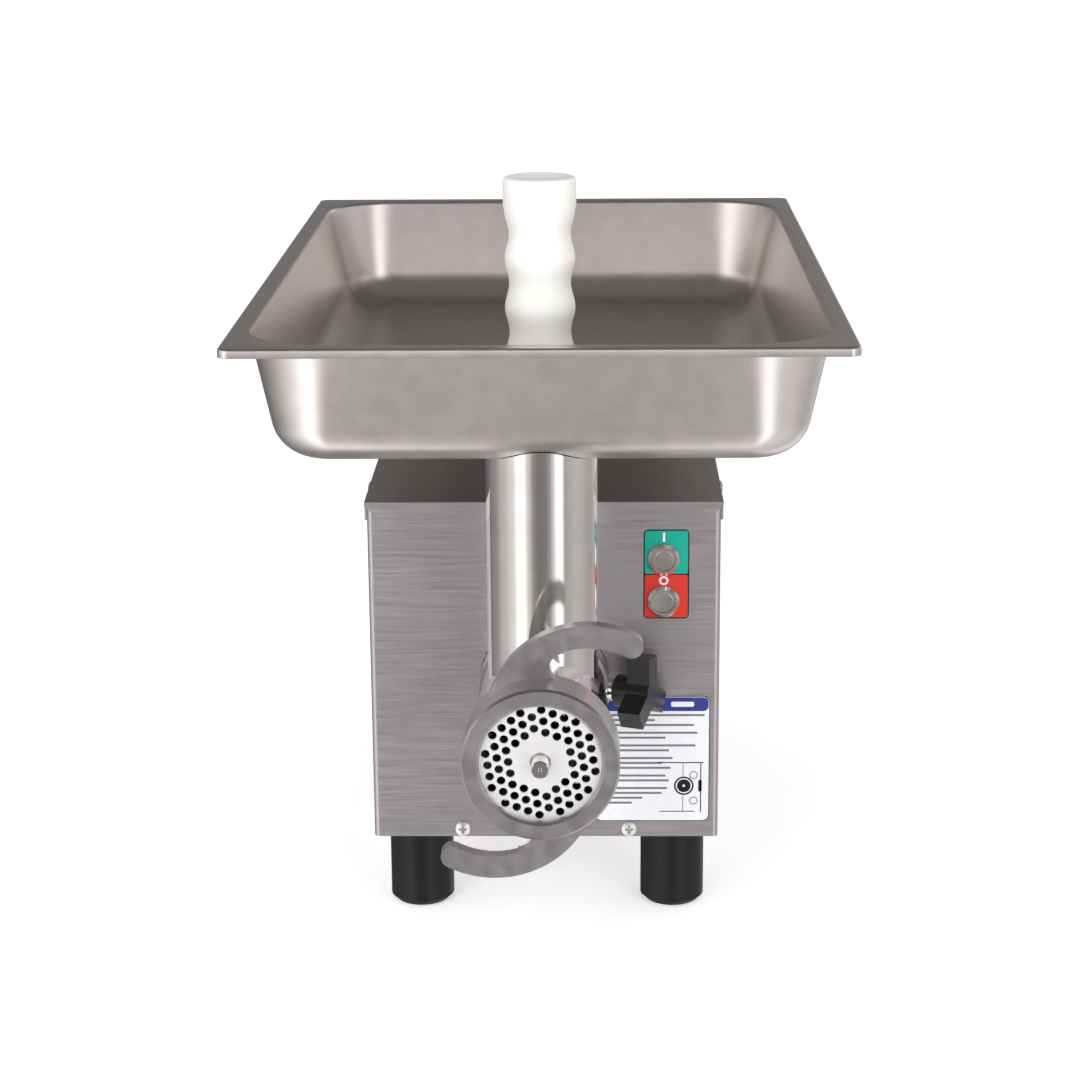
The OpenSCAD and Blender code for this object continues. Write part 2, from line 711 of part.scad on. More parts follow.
// ---- Controls ----
module switch_body(z) {
  translate([button_x, 0, 0]) {
    along_y(case_front + 6, z) difference() {
      union() {
        translate([0, 0, 6]) linear_extrude(switch_len - 6) square([18, 20], center = true);
        cylinder(d = 16, h = 6 + eps);
      }
      translate([0, 0, -1]) cylinder(d = cap_d + 2 * loose, h = 7 + button_travel);
    }
    for (s = [-1, 1]) translate([s * 5 - 2, case_front + 6 + switch_len - eps, z - 3]) cube([4, 7, 0.8]);
  }
}
module start_switch() { color("green") switch_body(start_z); }
module stop_switch() { color("firebrick") switch_body(start_z - button_drop); }
// Bezels: each a domed ring on the panel with a threaded collar through it
module button_bezels() {
  bore = cap_d + 2 * 0.1;
  color("silver") for (z = [start_z, start_z - button_drop]) translate([button_x, 0, 0])
    along_y(case_front - label_t, z) difference() {
      union() {
        translate([0, 0, -bezel_h]) cylinder(d1 = bezel_d - 3, d2 = bezel_d, h = bezel_h * 0.6);
        translate([0, 0, -bezel_h * 0.4]) cylinder(d = bezel_d, h = bezel_h * 0.4);
        cylinder(d = collar_d + 0.4, h = 6 + label_t - running);
      }
      translate([0, 0, -bezel_h - 1]) cylinder(d = bore, h = 20);
    }
}
// Button caps: their faces are level with the bezels' fronts
module button_cap(z) {
  translate([button_x, 0, 0]) along_y(case_front - label_t - bezel_h, z) {
    cylinder(d1 = cap_d - 1, d2 = cap_d, h = 0.7);
    translate([0, 0, 0.7 - eps]) cylinder(d = cap_d, h = 9 + eps);
  }
}
module start_cap() { color("silver") button_cap(start_z); }
module stop_cap() { color("silver") button_cap(start_z - button_drop); }
button_label_w = 25.4;
button_label_h = 51.5;
// How far the label's centre stands to the right of the buttons and above their middle
button_label_dx = 1.4;
button_label_dz = 3.5;
module button_label() {
  mid = start_z - button_drop / 2;
  color("green") difference() {
    seen_from_front(case_front - label_t, label_t, 0) translate([button_x + button_label_dx, mid + button_label_dz])
      round_rect(button_label_w, button_label_h, 2.5);
    for (z = [start_z, start_z - button_drop]) translate([button_x, 0, 0])
      along_y(case_front - 2, z) cylinder(d = collar_d + 0.8, h = 4);
  }
}
module instruction_label() {
  color("white") seen_from_front(case_front - label_t, label_t, 0) difference() {
    translate([60.6, foot_h + 47]) round_rect(65, 75.4, 4);
    translate([0, axis_z]) circle(d = socket_od + 3);
  }
}
// Cable gland: body, inside nut and a dome with a bore that is left empty
module cable_gland() {
  color("black") translate([gland_x, 0, 0]) along_y(case_back, gland_z) difference() {
    union() {
      rotate(30) cylinder(d = 27, h = 6, $fn = 6);
      translate([0, 0, 6 - eps]) cylinder(d1 = 23, d2 = 16, h = 12);
      translate([0, 0, -9]) cylinder(d = gland_d, h = 9 + eps);
      translate([0, 0, -sheet - 5]) rotate(30) cylinder(d = 26, h = 5, $fn = 6);
    }
    translate([0, 0, -10]) cylinder(d = 9, h = 40);
  }
}

// ---- Grinding head ----
throat_d = tube_od - 2 * tube_wall;
// The tube's front edge stands this much higher, to follow the pan's rounded underside
tube_lip = 8;
// Height of the weld between the barrel's neck and the feed tube
weld_z = axis_z + body_r + 6;
// Barrel, neck, bulkhead and rear spigot in one casting
module head_body() {
  color("gainsboro") difference() {
    union() {
      along_y(head_front) cylinder(d = thread_d, h = thread_back - head_front);
      along_y(thread_back - eps) cylinder(d = barrel_od, h = socket_face - thread_back + eps);
      difference() {
        translate([0, tube_y, axis_z]) cylinder(d = tube_od, h = weld_z - axis_z);
        along_y(socket_face - eps) cylinder(d = socket_od + 2 * loose, h = 40);
      }
      along_y(socket_face - eps) cylinder(d = spigot_d, h = spigot_end - socket_face + eps);
    }
    along_y(head_front - 1) cylinder(d = seat_d, h = plate_back - head_front + 1);
    along_y(plate_back - eps) cylinder(d = knife_room_d, h = knife_room_end - plate_back);
    along_y(knife_room_end - 1) cylinder(d = barrel_bore, h = bulkhead_front - knife_room_end + 1);
    along_y(bulkhead_front - 1) cylinder(d = bush_od + 2 * running, h = bush_len + 2);
    along_y(bulkhead_front + bush_len) cylinder(d = spigot_bore, h = 60);
    intersection() {
      translate([0, tube_y, axis_z]) cylinder(d = throat_d, h = weld_z - axis_z + 1);
      translate([-tube_od, tube_y - tube_od, axis_z])
        cube([2 * tube_od, bulkhead_front - tube_y + tube_od, weld_z]);
    }
    translate([0, tube_y, weld_z - 2]) cylinder(d = throat_d, h = 4);
    along_y(head_front - 1) rotate(-90) translate([seat_d / 2 - 1, 0, 0])
      cylinder(d = key_d + 2 * running, h = key_len + 1.1);
    for (i = [0:3]) along_y(head_front + 8 + i * 5) rotate_extrude()
      polygon([[thread_d / 2 - 1, 1.2], [thread_d / 2 + 1, -0.6], [thread_d / 2 + 1, 3]]);
  }
}
// Feed tube, welded on the barrel's neck and trimmed to the pan's underside
module feed_tube() {
  color("silver") difference() {
    translate([0, tube_y, weld_z]) pipe(tube_od, throat_d, axis_z + tube_rise + tube_lip - weld_z);
    pan_hollow(pan_sheet);
  }
}
module head_bush() { color("peru") along_y(bulkhead_front) pipe(bush_od, journal_d + 2 * running, bush_len); }
key_d = 4;
key_len = 8.4;
module plate_key() {
  color("silver") along_y(head_front) rotate(-90) translate([seat_d / 2 - 1, 0, 0]) cylinder(d = key_d, h = key_len);
}
// Places of the plate's holes: whole rings 3 and 4 of a hexagon grid, and ring 5 without its corners
plate_turn = 39.6;
bush_d = 11;
function hex_steps(n) = [for (side = [0:5], i = [0:n - 1])
  n * [cos(60 * side), sin(60 * side)] + i * [cos(60 * side + 120), sin(60 * side + 120)]];
function without_corners(n) = [for (side = [0:5], i = [1:n - 1])
  n * [cos(60 * side), sin(60 * side)] + i * [cos(60 * side + 120), sin(60 * side + 120)]];
plate_holes = plate_pitch * concat(hex_steps(3), hex_steps(4), without_corners(5));
module grinder_plate() {
  color("white") seen_from_front(plate_face, plate_t) difference() {
    circle(d = plate_d);
    circle(d = bush_d);
    rotate(plate_turn) for (p = plate_holes) translate(p) circle(d = plate_hole_d, $fn = 32);
    translate([0, seat_d / 2 - 1]) circle(d = key_d + 0.6);
  }
}
module plate_bush() { color("silver") along_y(plate_face) pipe(bush_d, stud_d + 2 * running, plate_t); }
auger_front = knife_room_end + 1;
auger_back = bulkhead_front - washer_t - 0.1;
auger_len = auger_back - auger_front;
hub_d = 26;
square_w = 12;
// Auger: a twisted flight round a hub, with the knife's square, the stud and the drive tang
module auger() {
  flight_r = barrel_bore / 2 - 0.5;
  color("gainsboro") difference() {
    union() {
      along_y(auger_front) linear_extrude(auger_len, twist = 360 * auger_len / auger_pitch, slices = 60)
        polygon(concat([for (a = [-20:10:20]) flight_r * [cos(a), sin(a)]],
          [for (a = [50, 310]) hub_d * 0.4 * [cos(a), sin(a)]]));
      along_y(auger_front) cylinder(d = hub_d, h = auger_len);
      along_y(auger_back - eps) cylinder(d = journal_d, h = bulkhead_front + bush_len + 2 - auger_back);
      along_y(bulkhead_front + bush_len) linear_extrude(nose_front + tang_len - 2 - bulkhead_front - bush_len)
        square(tang, center = true);
      along_y(plate_back + knife_gap) linear_extrude(auger_front - plate_back) square(square_w, center = true);
      along_y(tip_y + 0.6) cylinder(d = stud_d, h = plate_back - tip_y + 1);
      along_y(tip_y) cylinder(d1 = stud_d - 1.2, d2 = stud_d, h = 0.6 + eps);
    }
    along_y(tip_y - 1) cylinder(d = 2.6, h = 7, $fn = 24);
  }
}
module thrust_washer() { color("peru") along_y(bulkhead_front - washer_t) pipe(42, journal_d + 2 * running, washer_t); }
// Knife: four leaning blades round a square hole
module knife() {
  blade_r = plate_d / 2 - 4;
  color("silver") seen_from_front(plate_back + knife_gap, knife_t - 1) difference() {
    union() {
      circle(d = 26);
      for (a = [0:90:270]) rotate(a + 12) polygon([[0, -8], [blade_r - 2, -4], [blade_r, -2], [blade_r, 3], [0, 8]]);
    }
    square(square_w + 2 * running, center = true);
  }
}
// Ring nut: a threaded ring with a front lip and two curved hooks
// The hook's outline is drawn for a ring of this diameter and grows with the ring
hook_ring_d = 82;
hook_arc_x = 24.6;
hook_arc_z = 15.7;
hook_out = 53.6;
hook_in = 41.6;
hook_tip_angle = 62;
slot_end_x = 12.6;
slot_end_z = 46.5;
slot_end_r = 8;
module ring_hook() {
  difference() {
    union() {
      intersection() {
        translate([hook_arc_x, hook_arc_z]) circle(hook_out, $fn = 128);
        polygon([[-40, 0], [hook_arc_x, hook_arc_z], hook_point(90, 120), hook_point(140, 120), [-80, 60]]);
      }
      intersection() {
        translate([hook_arc_x, hook_arc_z]) difference() {
          circle(hook_out, $fn = 128);
          circle(hook_in, $fn = 128);
        }
        polygon([[hook_arc_x, hook_arc_z], hook_point(hook_tip_angle, 120), hook_point(91, 120), [0, 120]]);
      }
      translate([hook_arc_x, hook_arc_z]) rotate(hook_tip_angle) translate([(hook_out + hook_in) / 2, 0])
        circle((hook_out - hook_in) / 2);
    }
    intersection() {
      translate([hook_arc_x, hook_arc_z]) circle(hook_in, $fn = 128);
      translate([slot_end_x, 0]) square(100);
    }
    translate([slot_end_x, slot_end_z]) circle(slot_end_r);
  }
}
function hook_point(a, r) = [hook_arc_x + r * cos(a), hook_arc_z + r * sin(a)];
module ring_nut() {
  hook_back = ring_face + ring_len;
  color("silver") difference() {
    union() {
      along_y(ring_face + 1.2) cylinder(d = ring_d, h = ring_len - 1.2);
      along_y(ring_face) cylinder(d1 = ring_d - 2.4, d2 = ring_d, h = 1.2 + eps);
      seen_from_front(hook_back - hook_t, hook_t) scale(ring_d / hook_ring_d) {
        ring_hook();
        rotate(180) ring_hook();
      }
    }
    along_y(ring_face - 1) cylinder(d = ring_mouth, h = ring_len + 2);
    along_y(ring_face - eps) cylinder(d1 = ring_mouth + 3, d2 = ring_mouth, h = 1.5);
    along_y(plate_face) cylinder(d = thread_d + 2 * running, h = ring_len + 2);
  }
}

// ---- Clamp ----
clamp_boss_d = 13;
boss_r = body_r + 6.5;
knob_r0 = boss_r + 1.5;
knob_hub_d = 18;
knob_hub_h = 8;
// The screw's flat end stops where its near edge would meet the spigot
screw_tip = (spigot_d / 2 + 0.1 + screw_d / 2 * sin(knob_turn)) / cos(knob_turn);
module clamp_screw() {
  color("silver") on_clamp() translate([0, 0, screw_tip])
    cylinder(d = screw_d, h = knob_r0 + knob_hub_h + knob_t - 4.1 - screw_tip);
}
module clamp_knob() {
  z0 = knob_r0;
  color("black") on_clamp() difference() {
    union() {
      translate([0, 0, z0]) cylinder(d = knob_hub_d, h = knob_hub_h + eps);
      translate([0, 0, z0 + knob_hub_h]) linear_extrude(knob_t) {
        circle(d = knob_hub_d);
        for (a = [0, 120, 240]) rotate(180 + a) translate([0, -knob_arm / 2]) square([knob_r, knob_arm]);
      }
    }
    translate([0, 0, z0 - 1]) cylinder(d = screw_d + 0.02, h = knob_hub_h + knob_t - 3);
  }
}

// ---- Feed pan ----
inner_rim_w = pan_w - 2 * pan_rim;
inner_rim_l = pan_l - 2 * pan_rim;
wall_run = (pan_depth - pan_sheet) * tan(pan_draft);
// The pan's hollow, grown outwards by g and carried on past its top
module pan_hollow(g, past = 0) {
  torus_r = pan_corner * 0.7 - pan_floor_r;
  top_w = inner_rim_w / 2 + g;
  top_l = inner_rim_l / 2 + g;
  low_w = top_w - wall_run;
  low_l = top_l - wall_run;
  translate([0, pan_mid, 0]) hull() for (x = [-1, 1], y = [-1, 1]) {
    translate([x * (top_w - pan_corner), y * (top_l - pan_corner), pan_top - 0.5])
      cylinder(r = pan_corner, h = 0.5 + past, $fn = 48);
    translate([x * (low_w - torus_r - pan_floor_r), y * (low_l - torus_r - pan_floor_r), pan_floor + pan_floor_r - g])
      rotate_extrude($fn = 32) translate([torus_r, 0]) intersection() {
        circle(pan_floor_r, $fn = 32);
        translate([0, -pan_floor_r]) square(2 * pan_floor_r);
      }
  }
}
spigot_od = throat_d - 2 * 0.4;
piston_d = spigot_od - 2 * pan_sheet - 2 * piston_gap;
rim_corner = 6;
// The pan's drawn well, with a hole in its floor over the feed tube
module feed_pan() {
  color("lightgray") difference() {
    pan_hollow(pan_sheet);
    pan_hollow(0, 1);
    translate([0, tube_y, pan_under - 1]) cylinder(d = spigot_od - 2 * pan_sheet, h = pan_floor_r);
  }
}
// The flat rim round the well, and its turned-down lip
module pan_rim_band() {
  color("silver") difference() {
    translate([0, pan_mid, pan_top - pan_lip]) linear_extrude(pan_lip) round_rect(pan_w, pan_l, rim_corner);
    translate([0, pan_mid, pan_top - pan_lip - 1]) linear_extrude(pan_lip - pan_sheet + 1)
      round_rect(pan_w - 2 * pan_sheet, pan_l - 2 * pan_sheet, rim_corner - pan_sheet);
    pan_hollow(pan_sheet, 1);
  }
}
// The ring under the floor's hole that drops into the feed tube
module pan_spigot_ring() {
  color("silver") difference() {
    translate([0, tube_y, pan_under - pan_spigot]) cylinder(d = spigot_od, h = pan_spigot + tube_lip);
    pan_hollow(pan_sheet);
    translate([0, tube_y, pan_under - pan_spigot - 1])
      cylinder(d = spigot_od - 2 * pan_sheet, h = pan_spigot + tube_lip + 2);
  }
}

// ---- Stomper ----
handle_top = 17;
grooves = 3;
flange_d = 54;
flange_t = 5;
floor_start = pan_rim + wall_run + pan_floor_r;
flange_past = max(0, floor_start - tube_setback + flange_d / 2);
flange_z = 0.1 + pan_floor_r - sqrt(pow(pan_floor_r, 2) - pow(min(flange_past, pan_floor_r), 2));
flange_h = flange_z + flange_t;
function groove_line() = [for (i = [0:grooves * 10]) let (z = handle_h - handle_top - i * groove_pitch / 10)
  [handle_d / 2 - 0.6 - groove_depth * pow(sin(i * 18), 2), z]];
module stomper() {
  low = handle_h - handle_top - grooves * groove_pitch;
  color("white") translate([0, tube_y, pan_floor]) rotate_extrude() polygon(concat(
    [[0, handle_h - 0.8], [handle_d / 2 - 7, handle_h - 0.8], [handle_d / 2 - 4, handle_h],
      [handle_d / 2 - 2, handle_h], [handle_d / 2 - 0.6, handle_h - 0.6], [handle_d / 2, handle_h - 2],
      [handle_d / 2, handle_h - handle_top + 2]],
    groove_line(),
    [[handle_d / 2 - 0.6, low - 2], [handle_d / 2 + 1, flange_h + 6], [handle_d / 2 + 4, flange_h],
      [flange_d / 2 - 1, flange_h], [flange_d / 2, flange_h - 1], [flange_d / 2, flange_z],
      [piston_d / 2, flange_z],
      [piston_d / 2, 3 - piston_len], [piston_d / 2 - 3, -piston_len], [0, -piston_len]]
  ));
}

case_wrap();
top_cover();
rear_panel();
base_plate();
feet();
foot_screws();
case_screws();
pan_rest();
pan_rest_pads();
head_socket();
gearbox_cover();
gearbox_housing();
bearing_web();
output_bearings();
layshaft_bearings();
shaft_seal();
drive_shaft();
output_gear();
layshaft();
layshaft_gear();
motor_pinion();
motor_shaft();
rotor_core();
cooling_fan();
motor_bearings();
motor_housing();
motor_end_bells();
stator_core();
stator_windings();
motor_cradle();
electrical_tray();
run_capacitor();
capacitor_clamp();
contactor();
start_switch();
stop_switch();
button_bezels();
start_cap();
stop_cap();
button_label();
instruction_label();
cable_gland();
head_body();
feed_tube();
head_bush();
plate_key();
grinder_plate();
plate_bush();
auger();
thrust_washer();
knife();
ring_nut();
clamp_screw();
clamp_knob();
feed_pan();
pan_rim_band();
pan_spigot_ring();
stomper();
gearbox_screws();
motor_tie_bolts();
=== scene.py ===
# %% [markdown]
# # A countertop meat grinder
# The frame comes first: every CAD node, at its real size and place, on the body it moves with.
# Everything made below takes its place from that frame, so nothing has to be fitted by eye.

# %% Load the frame
import math

import bmesh
import bpy
from mathutils import Matrix, Vector


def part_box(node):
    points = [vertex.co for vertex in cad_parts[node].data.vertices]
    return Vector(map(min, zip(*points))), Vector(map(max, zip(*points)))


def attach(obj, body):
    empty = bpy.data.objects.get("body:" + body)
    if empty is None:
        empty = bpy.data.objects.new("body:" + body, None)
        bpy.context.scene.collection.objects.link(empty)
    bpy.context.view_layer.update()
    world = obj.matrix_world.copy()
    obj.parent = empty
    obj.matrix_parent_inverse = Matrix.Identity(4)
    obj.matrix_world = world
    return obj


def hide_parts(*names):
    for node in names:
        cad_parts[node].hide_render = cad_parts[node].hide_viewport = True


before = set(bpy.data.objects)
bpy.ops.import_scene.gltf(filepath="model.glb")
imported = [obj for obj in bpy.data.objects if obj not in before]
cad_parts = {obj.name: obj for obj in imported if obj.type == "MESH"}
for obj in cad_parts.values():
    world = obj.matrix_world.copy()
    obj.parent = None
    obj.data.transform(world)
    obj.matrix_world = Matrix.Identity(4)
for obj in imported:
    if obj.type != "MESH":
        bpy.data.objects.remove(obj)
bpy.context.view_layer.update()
MM = 0.001

# %% [markdown]
# ## Camera
# The machine is seen from the front, a little from above, through a long lens that keeps its sides
# nearly parallel. Three turns place the view: left or right, down, and a hair of roll.

# %% Camera
camera = bpy.data.objects.new("camera", bpy.data.cameras.new("camera"))
bpy.context.scene.collection.objects.link(camera)
bpy.context.scene.camera = camera
camera.data.lens = 86.66
camera.data.sensor_width = 36
camera.data.clip_end = 50
tilt_down = math.radians(15.56)
turn_left = math.radians(1.21)
roll = math.radians(-0.44)
camera.matrix_world = (
    Matrix.Translation((0.0272, -1.5273, 0.6105))
    @ Matrix.Rotation(turn_left, 4, "Z")
    @ Matrix.Rotation(math.pi / 2 - tilt_down, 4, "X")
    @ Matrix.Rotation(roll, 4, "Z")
)
print("camera", [round(v, 3) for v in camera.location])

# %% [markdown]
# ## Building with nodes
# The world and every finish are node trees. Four short helpers add a node, join two sockets and do
# arithmetic, so that a tree reads from top to bottom like a recipe.

# %% Small helpers for node trees
def new_tree(name):
    material = bpy.data.materials.new(name)
    material.use_nodes = True
    tree = material.node_tree
    shader = next(n for n in tree.nodes if n.type == "BSDF_PRINCIPLED")
    return material, tree, shader


def add(tree, kind, **settings):
    node = tree.nodes.new(kind)
    for key, value in settings.items():
        setattr(node, key, value)
    return node


def join(tree, start, end):
    tree.links.new(start, end)


def maths(tree, operation, first, second=None):
    node = add(tree, "ShaderNodeMath", operation=operation)
    for socket, value in zip(node.inputs, (first, second)):
        if value is None:
            continue
        if isinstance(value, (int, float)):
            socket.default_value = value
        else:
            join(tree, value, socket)
    return node.outputs[0]


print("materials at the start:", len(bpy.data.materials))

# %% [markdown]
# ## The studio
# Polished steel shows what stands round it, so the studio is most of the finish. Here two tall
# softboxes stand left and right, with a darker room in front and behind. Lamps with real panels could
# do it, but a world that changes with compass direction does the work of twenty panels, costs nothing
# to render and has no edges to hide.

# %% How bright the studio is
# Compass direction in degrees, 0 towards the front and positive to the right, and how bright it is there
STUDIO = [
    (-180, 0.22), (-144, 0.20), (-110, 0.42), (-84, 0.78), (-60, 1.15), (-50, 1.8), (-35, 1.8),
    (-26, 1.00), (-15, 0.42), (-6, 0.30), (8, 0.32), (16, 0.48), (25, 1.05), (31, 1.95), (42, 1.95),
    (48, 0.62), (75, 0.78), (120, 0.58), (142, 0.82), (150, 1.10), (163, 0.32), (180, 0.22),
]
# Height above the horizon as its sine, and what it multiplies the ring by: tables, middle and ceiling
LEVELS = [(-1.0, 1.1), (-0.6, 1.2), (-0.28, 0.75), (-0.05, 0.95), (0.12, 1.1), (0.3, 1.0), (1.0, 0.75)]
# A low window in front, which only the pan's back wall faces: how wide, and how high
WINDOW_ACROSS = [(-180, 0), (-50, 0), (-22, 1), (22, 1), (50, 0), (180, 0)]
WINDOW_UP = [(-1, 0), (-0.04, 0), (0.05, 1), (0.2, 1), (0.3, 0), (1, 0)]
WINDOW = 1.1
BRIGHTEST = 2.0
CEILING = 0.16
print("softboxes at", [place for place, level in STUDIO if level > 1.5], "degrees")


# %% A colour ramp from a list of stops
def ramp_of(tree, value, stops, scale, start, end):
    """A colour ramp in grey through (place, level) stops, with places from start to end."""
    place = add(tree, "ShaderNodeMapRange")
    join(tree, value, place.inputs["Value"])
    place.inputs["From Min"].default_value = start
    place.inputs["From Max"].default_value = end
    ramp = add(tree, "ShaderNodeValToRGB")
    ramp.color_ramp.interpolation = "EASE"
    join(tree, place.outputs[0], ramp.inputs[0])
    knots = ramp.color_ramp.elements
    knots.remove(knots[-1])
    for i, (where, level) in enumerate(stops):
        at = (where - start) / (end - start)
        knot = knots[0] if i == 0 else knots.new(at)
        knot.position = at
        knot.color = (*[level / scale] * 3, 1)
    return maths(tree, "MULTIPLY", ramp.outputs["Color"], scale)


# %% The world that steel sees
def studio_world():
    world = bpy.data.worlds.new("studio")
    world.use_nodes = True
    tree = world.node_tree
    split = add(tree, "ShaderNodeSeparateXYZ")
    join(tree, add(tree, "ShaderNodeTexCoord").outputs["Generated"], split.inputs[0])
    front = maths(tree, "MULTIPLY", split.outputs["Y"], -1.0)
    compass = maths(tree, "ARCTAN2", split.outputs["X"], front)
    degrees = maths(tree, "MULTIPLY", compass, 180 / math.pi)
    ring = ramp_of(tree, degrees, STUDIO, BRIGHTEST, -180, 180)
    level = ramp_of(tree, split.outputs["Z"], LEVELS, BRIGHTEST, -1, 1)
    across = ramp_of(tree, degrees, WINDOW_ACROSS, 1, -180, 180)
    up = ramp_of(tree, split.outputs["Z"], WINDOW_UP, 1, -1, 1)
    window = maths(tree, "MULTIPLY", maths(tree, "MULTIPLY", across, up), WINDOW)
    walls = maths(tree, "ADD", maths(tree, "MULTIPLY", ring, level), window)
    height = add(tree, "ShaderNodeMapRange", interpolation_type="SMOOTHSTEP")
    join(tree, split.outputs["Z"], height.inputs["Value"])
    height.inputs["From Min"].default_value = 0.28
    height.inputs["From Max"].default_value = 0.60
    dome = add(tree, "ShaderNodeMix", data_type="FLOAT")
    join(tree, height.outputs[0], dome.inputs["Factor"])
    join(tree, walls, dome.inputs["A"])
    dome.inputs["B"].default_value = CEILING
    warm = add(tree, "ShaderNodeCombineColor")
    for name, share in (("Red", 1.0), ("Green", 0.975), ("Blue", 0.96)):
        join(tree, maths(tree, "MULTIPLY", dome.outputs["Result"], share), warm.inputs[name])
    # The eye and the dull surfaces get plain pale paper; only polished ones see the softboxes
    path = add(tree, "ShaderNodeLightPath")
    paper = add(tree, "ShaderNodeMix", data_type="RGBA")
    join(tree, path.outputs["Is Camera Ray"], paper.inputs["Factor"])
    paper.inputs["A"].default_value = (0.74, 0.74, 0.74, 1)
    paper.inputs["B"].default_value = (1, 1, 1, 1)
    seen = add(tree, "ShaderNodeMix", data_type="RGBA")
    join(tree, path.outputs["Is Glossy Ray"], seen.inputs["Factor"])
    join(tree, paper.outputs["Result"], seen.inputs["A"])
    join(tree, warm.outputs[0], seen.inputs["B"])
    join(tree, seen.outputs["Result"], tree.nodes["Background"].inputs["Color"])
    # Lamps light by being aimed at, which would ignore the test for polished surfaces, so the world is
    # only ever found by looking
    world.cycles.sampling_method = "NONE"
    bpy.context.scene.world = world


studio_world()
bpy.context.scene.view_settings.view_transform = "Standard"
print("world:", bpy.context.scene.world.name)


# %% [markdown]
# ## Lamps and floor
# The world lights the dull surfaces evenly, which looks flat, so three large soft lamps give them a
# light side and a soft shadow. The floor is pale paper that runs on until it meets the background.

# %% Lamps
def softbox(name, place, aim, width, height, power):
    """A soft lamp for the dull surfaces. The world already holds its reflection."""
    lamp = bpy.data.lights.new(name, "AREA")
    lamp.shape = "RECTANGLE"
    lamp.size = width
    lamp.size_y = height
    lamp.energy = power
    holder = bpy.data.objects.new(name, lamp)
    holder.location = place
    holder.rotation_euler = (Vector(aim) - Vector(place)).to_track_quat("-Z", "Y").to_euler()
    holder.visible_glossy = False
    bpy.context.scene.collection.objects.link(holder)


softbox("overhead", (-0.2, -0.3, 2.2), (0, 0, 0.2), 1.8, 1.8, 2)
softbox("front_left", (-1.0, -1.9, 0.9), (0, -0.1, 0.25), 0.8, 1.2, 13)
softbox("front_right", (1.1, -1.9, 0.8), (0, -0.1, 0.25), 0.8, 1.2, 10)


# %% Floor
def floor_material():
    """Pale paper that steel looks straight through, so that the softboxes seem to reach the table."""
    material, tree, shader = new_tree("pale floor")
    shader.inputs["Base Color"].default_value = (0.9, 0.9, 0.9, 1)
    shader.inputs["Roughness"].default_value = 0.9
    shader.inputs["Specular IOR Level"].default_value = 0.1
    shader.inputs["Emission Color"].default_value = (1, 1, 1, 1)
    shader.inputs["Emission Strength"].default_value = 0.45
    path = add(tree, "ShaderNodeLightPath")
    mix = add(tree, "ShaderNodeMixShader")
    join(tree, path.outputs["Is Glossy Ray"], mix.inputs[0])
    join(tree, shader.outputs[0], mix.inputs[1])
    join(tree, add(tree, "ShaderNodeBsdfTransparent").outputs[0], mix.inputs[2])
    output = next(n for n in tree.nodes if n.type == "OUTPUT_MATERIAL")
    join(tree, mix.outputs[0], output.inputs["Surface"])
    return material


floor_mesh = bpy.data.meshes.new("floor")
FLOOR = 16.0
corners = [(-FLOOR, -FLOOR, 0), (FLOOR, -FLOOR, 0), (FLOOR, FLOOR, 0), (-FLOOR, FLOOR, 0)]
floor_mesh.from_pydata(corners, [], [(0, 1, 2, 3)])
floor_mesh.materials.append(floor_material())
floor = bpy.data.objects.new("floor", floor_mesh)
floor.location.z = -0.0002
bpy.context.scene.collection.objects.link(floor)
print("floor", 2 * FLOOR, "m across")

# %% [markdown]
# ## Effects that several finishes share
# Brushing, cloudy smears and the grain of a mould each turn up on many pieces at different strengths.
# Each is a node group with named inputs, built once. A group hands out only values, and the shader that
# uses them stays in the material.

# %% Start a node group
def new_group(name, inputs, outputs):
    group = bpy.data.node_groups.new(name, "ShaderNodeTree")
    for label, kind, value in inputs:
        socket = group.interface.new_socket(name=label, in_out="INPUT", socket_type=kind)
        socket.default_value = value
    for label in outputs:
        group.interface.new_socket(name=label, in_out="OUTPUT", socket_type="NodeSocketFloat")
    return group, add(group, "NodeGroupInput"), add(group, "NodeGroupOutput")


def stretched_noise(group, given, stretch, scale, detail):
    """Noise read at object coordinates, stretched by a vector input."""
    where = add(group, "ShaderNodeTexCoord").outputs["Object"]
    squash = add(group, "ShaderNodeVectorMath", operation="MULTIPLY")
    join(group, where, squash.inputs[0])
    join(group, given.outputs[stretch], squash.inputs[1])
    noise = add(group, "ShaderNodeTexNoise")
    noise.inputs["Detail"].default_value = detail
    join(group, squash.outputs[0], noise.inputs["Vector"])
    join(group, given.outputs[scale], noise.inputs["Scale"])
    return noise.outputs["Fac"]


# %% Brushed lines and wiped smears
def brushed_group():
    """Fine lines along one direction: Stretch is small along the brushing and large across it."""
    group, given, out = new_group(
        "brushed lines",
        [("Stretch", "NodeSocketVector", (1, 40, 40)), ("Scale", "NodeSocketFloat", 40.0)],
        ["Height", "Tone"],
    )
    fine = stretched_noise(group, given, "Stretch", "Scale", 6.0)
    spread = add(group, "ShaderNodeMapRange")
    join(group, fine, spread.inputs["Value"])
    spread.inputs["From Min"].default_value = 0.3
    spread.inputs["From Max"].default_value = 0.7
    join(group, fine, out.inputs["Height"])
    join(group, spread.outputs[0], out.inputs["Tone"])
    return group


def smear_group():
    """Large soft patches, as wiping and handling leave on metal."""
    group, given, out = new_group(
        "wiped smears",
        [("Stretch", "NodeSocketVector", (1, 1, 1)), ("Scale", "NodeSocketFloat", 9.0)],
        ["Mask"],
    )
    cloud = stretched_noise(group, given, "Stretch", "Scale", 4.0)
    spread = add(group, "ShaderNodeMapRange")
    join(group, cloud, spread.inputs["Value"])
    spread.inputs["From Min"].default_value = 0.42
    spread.inputs["From Max"].default_value = 0.72
    join(group, spread.outputs[0], out.inputs["Mask"])
    return group


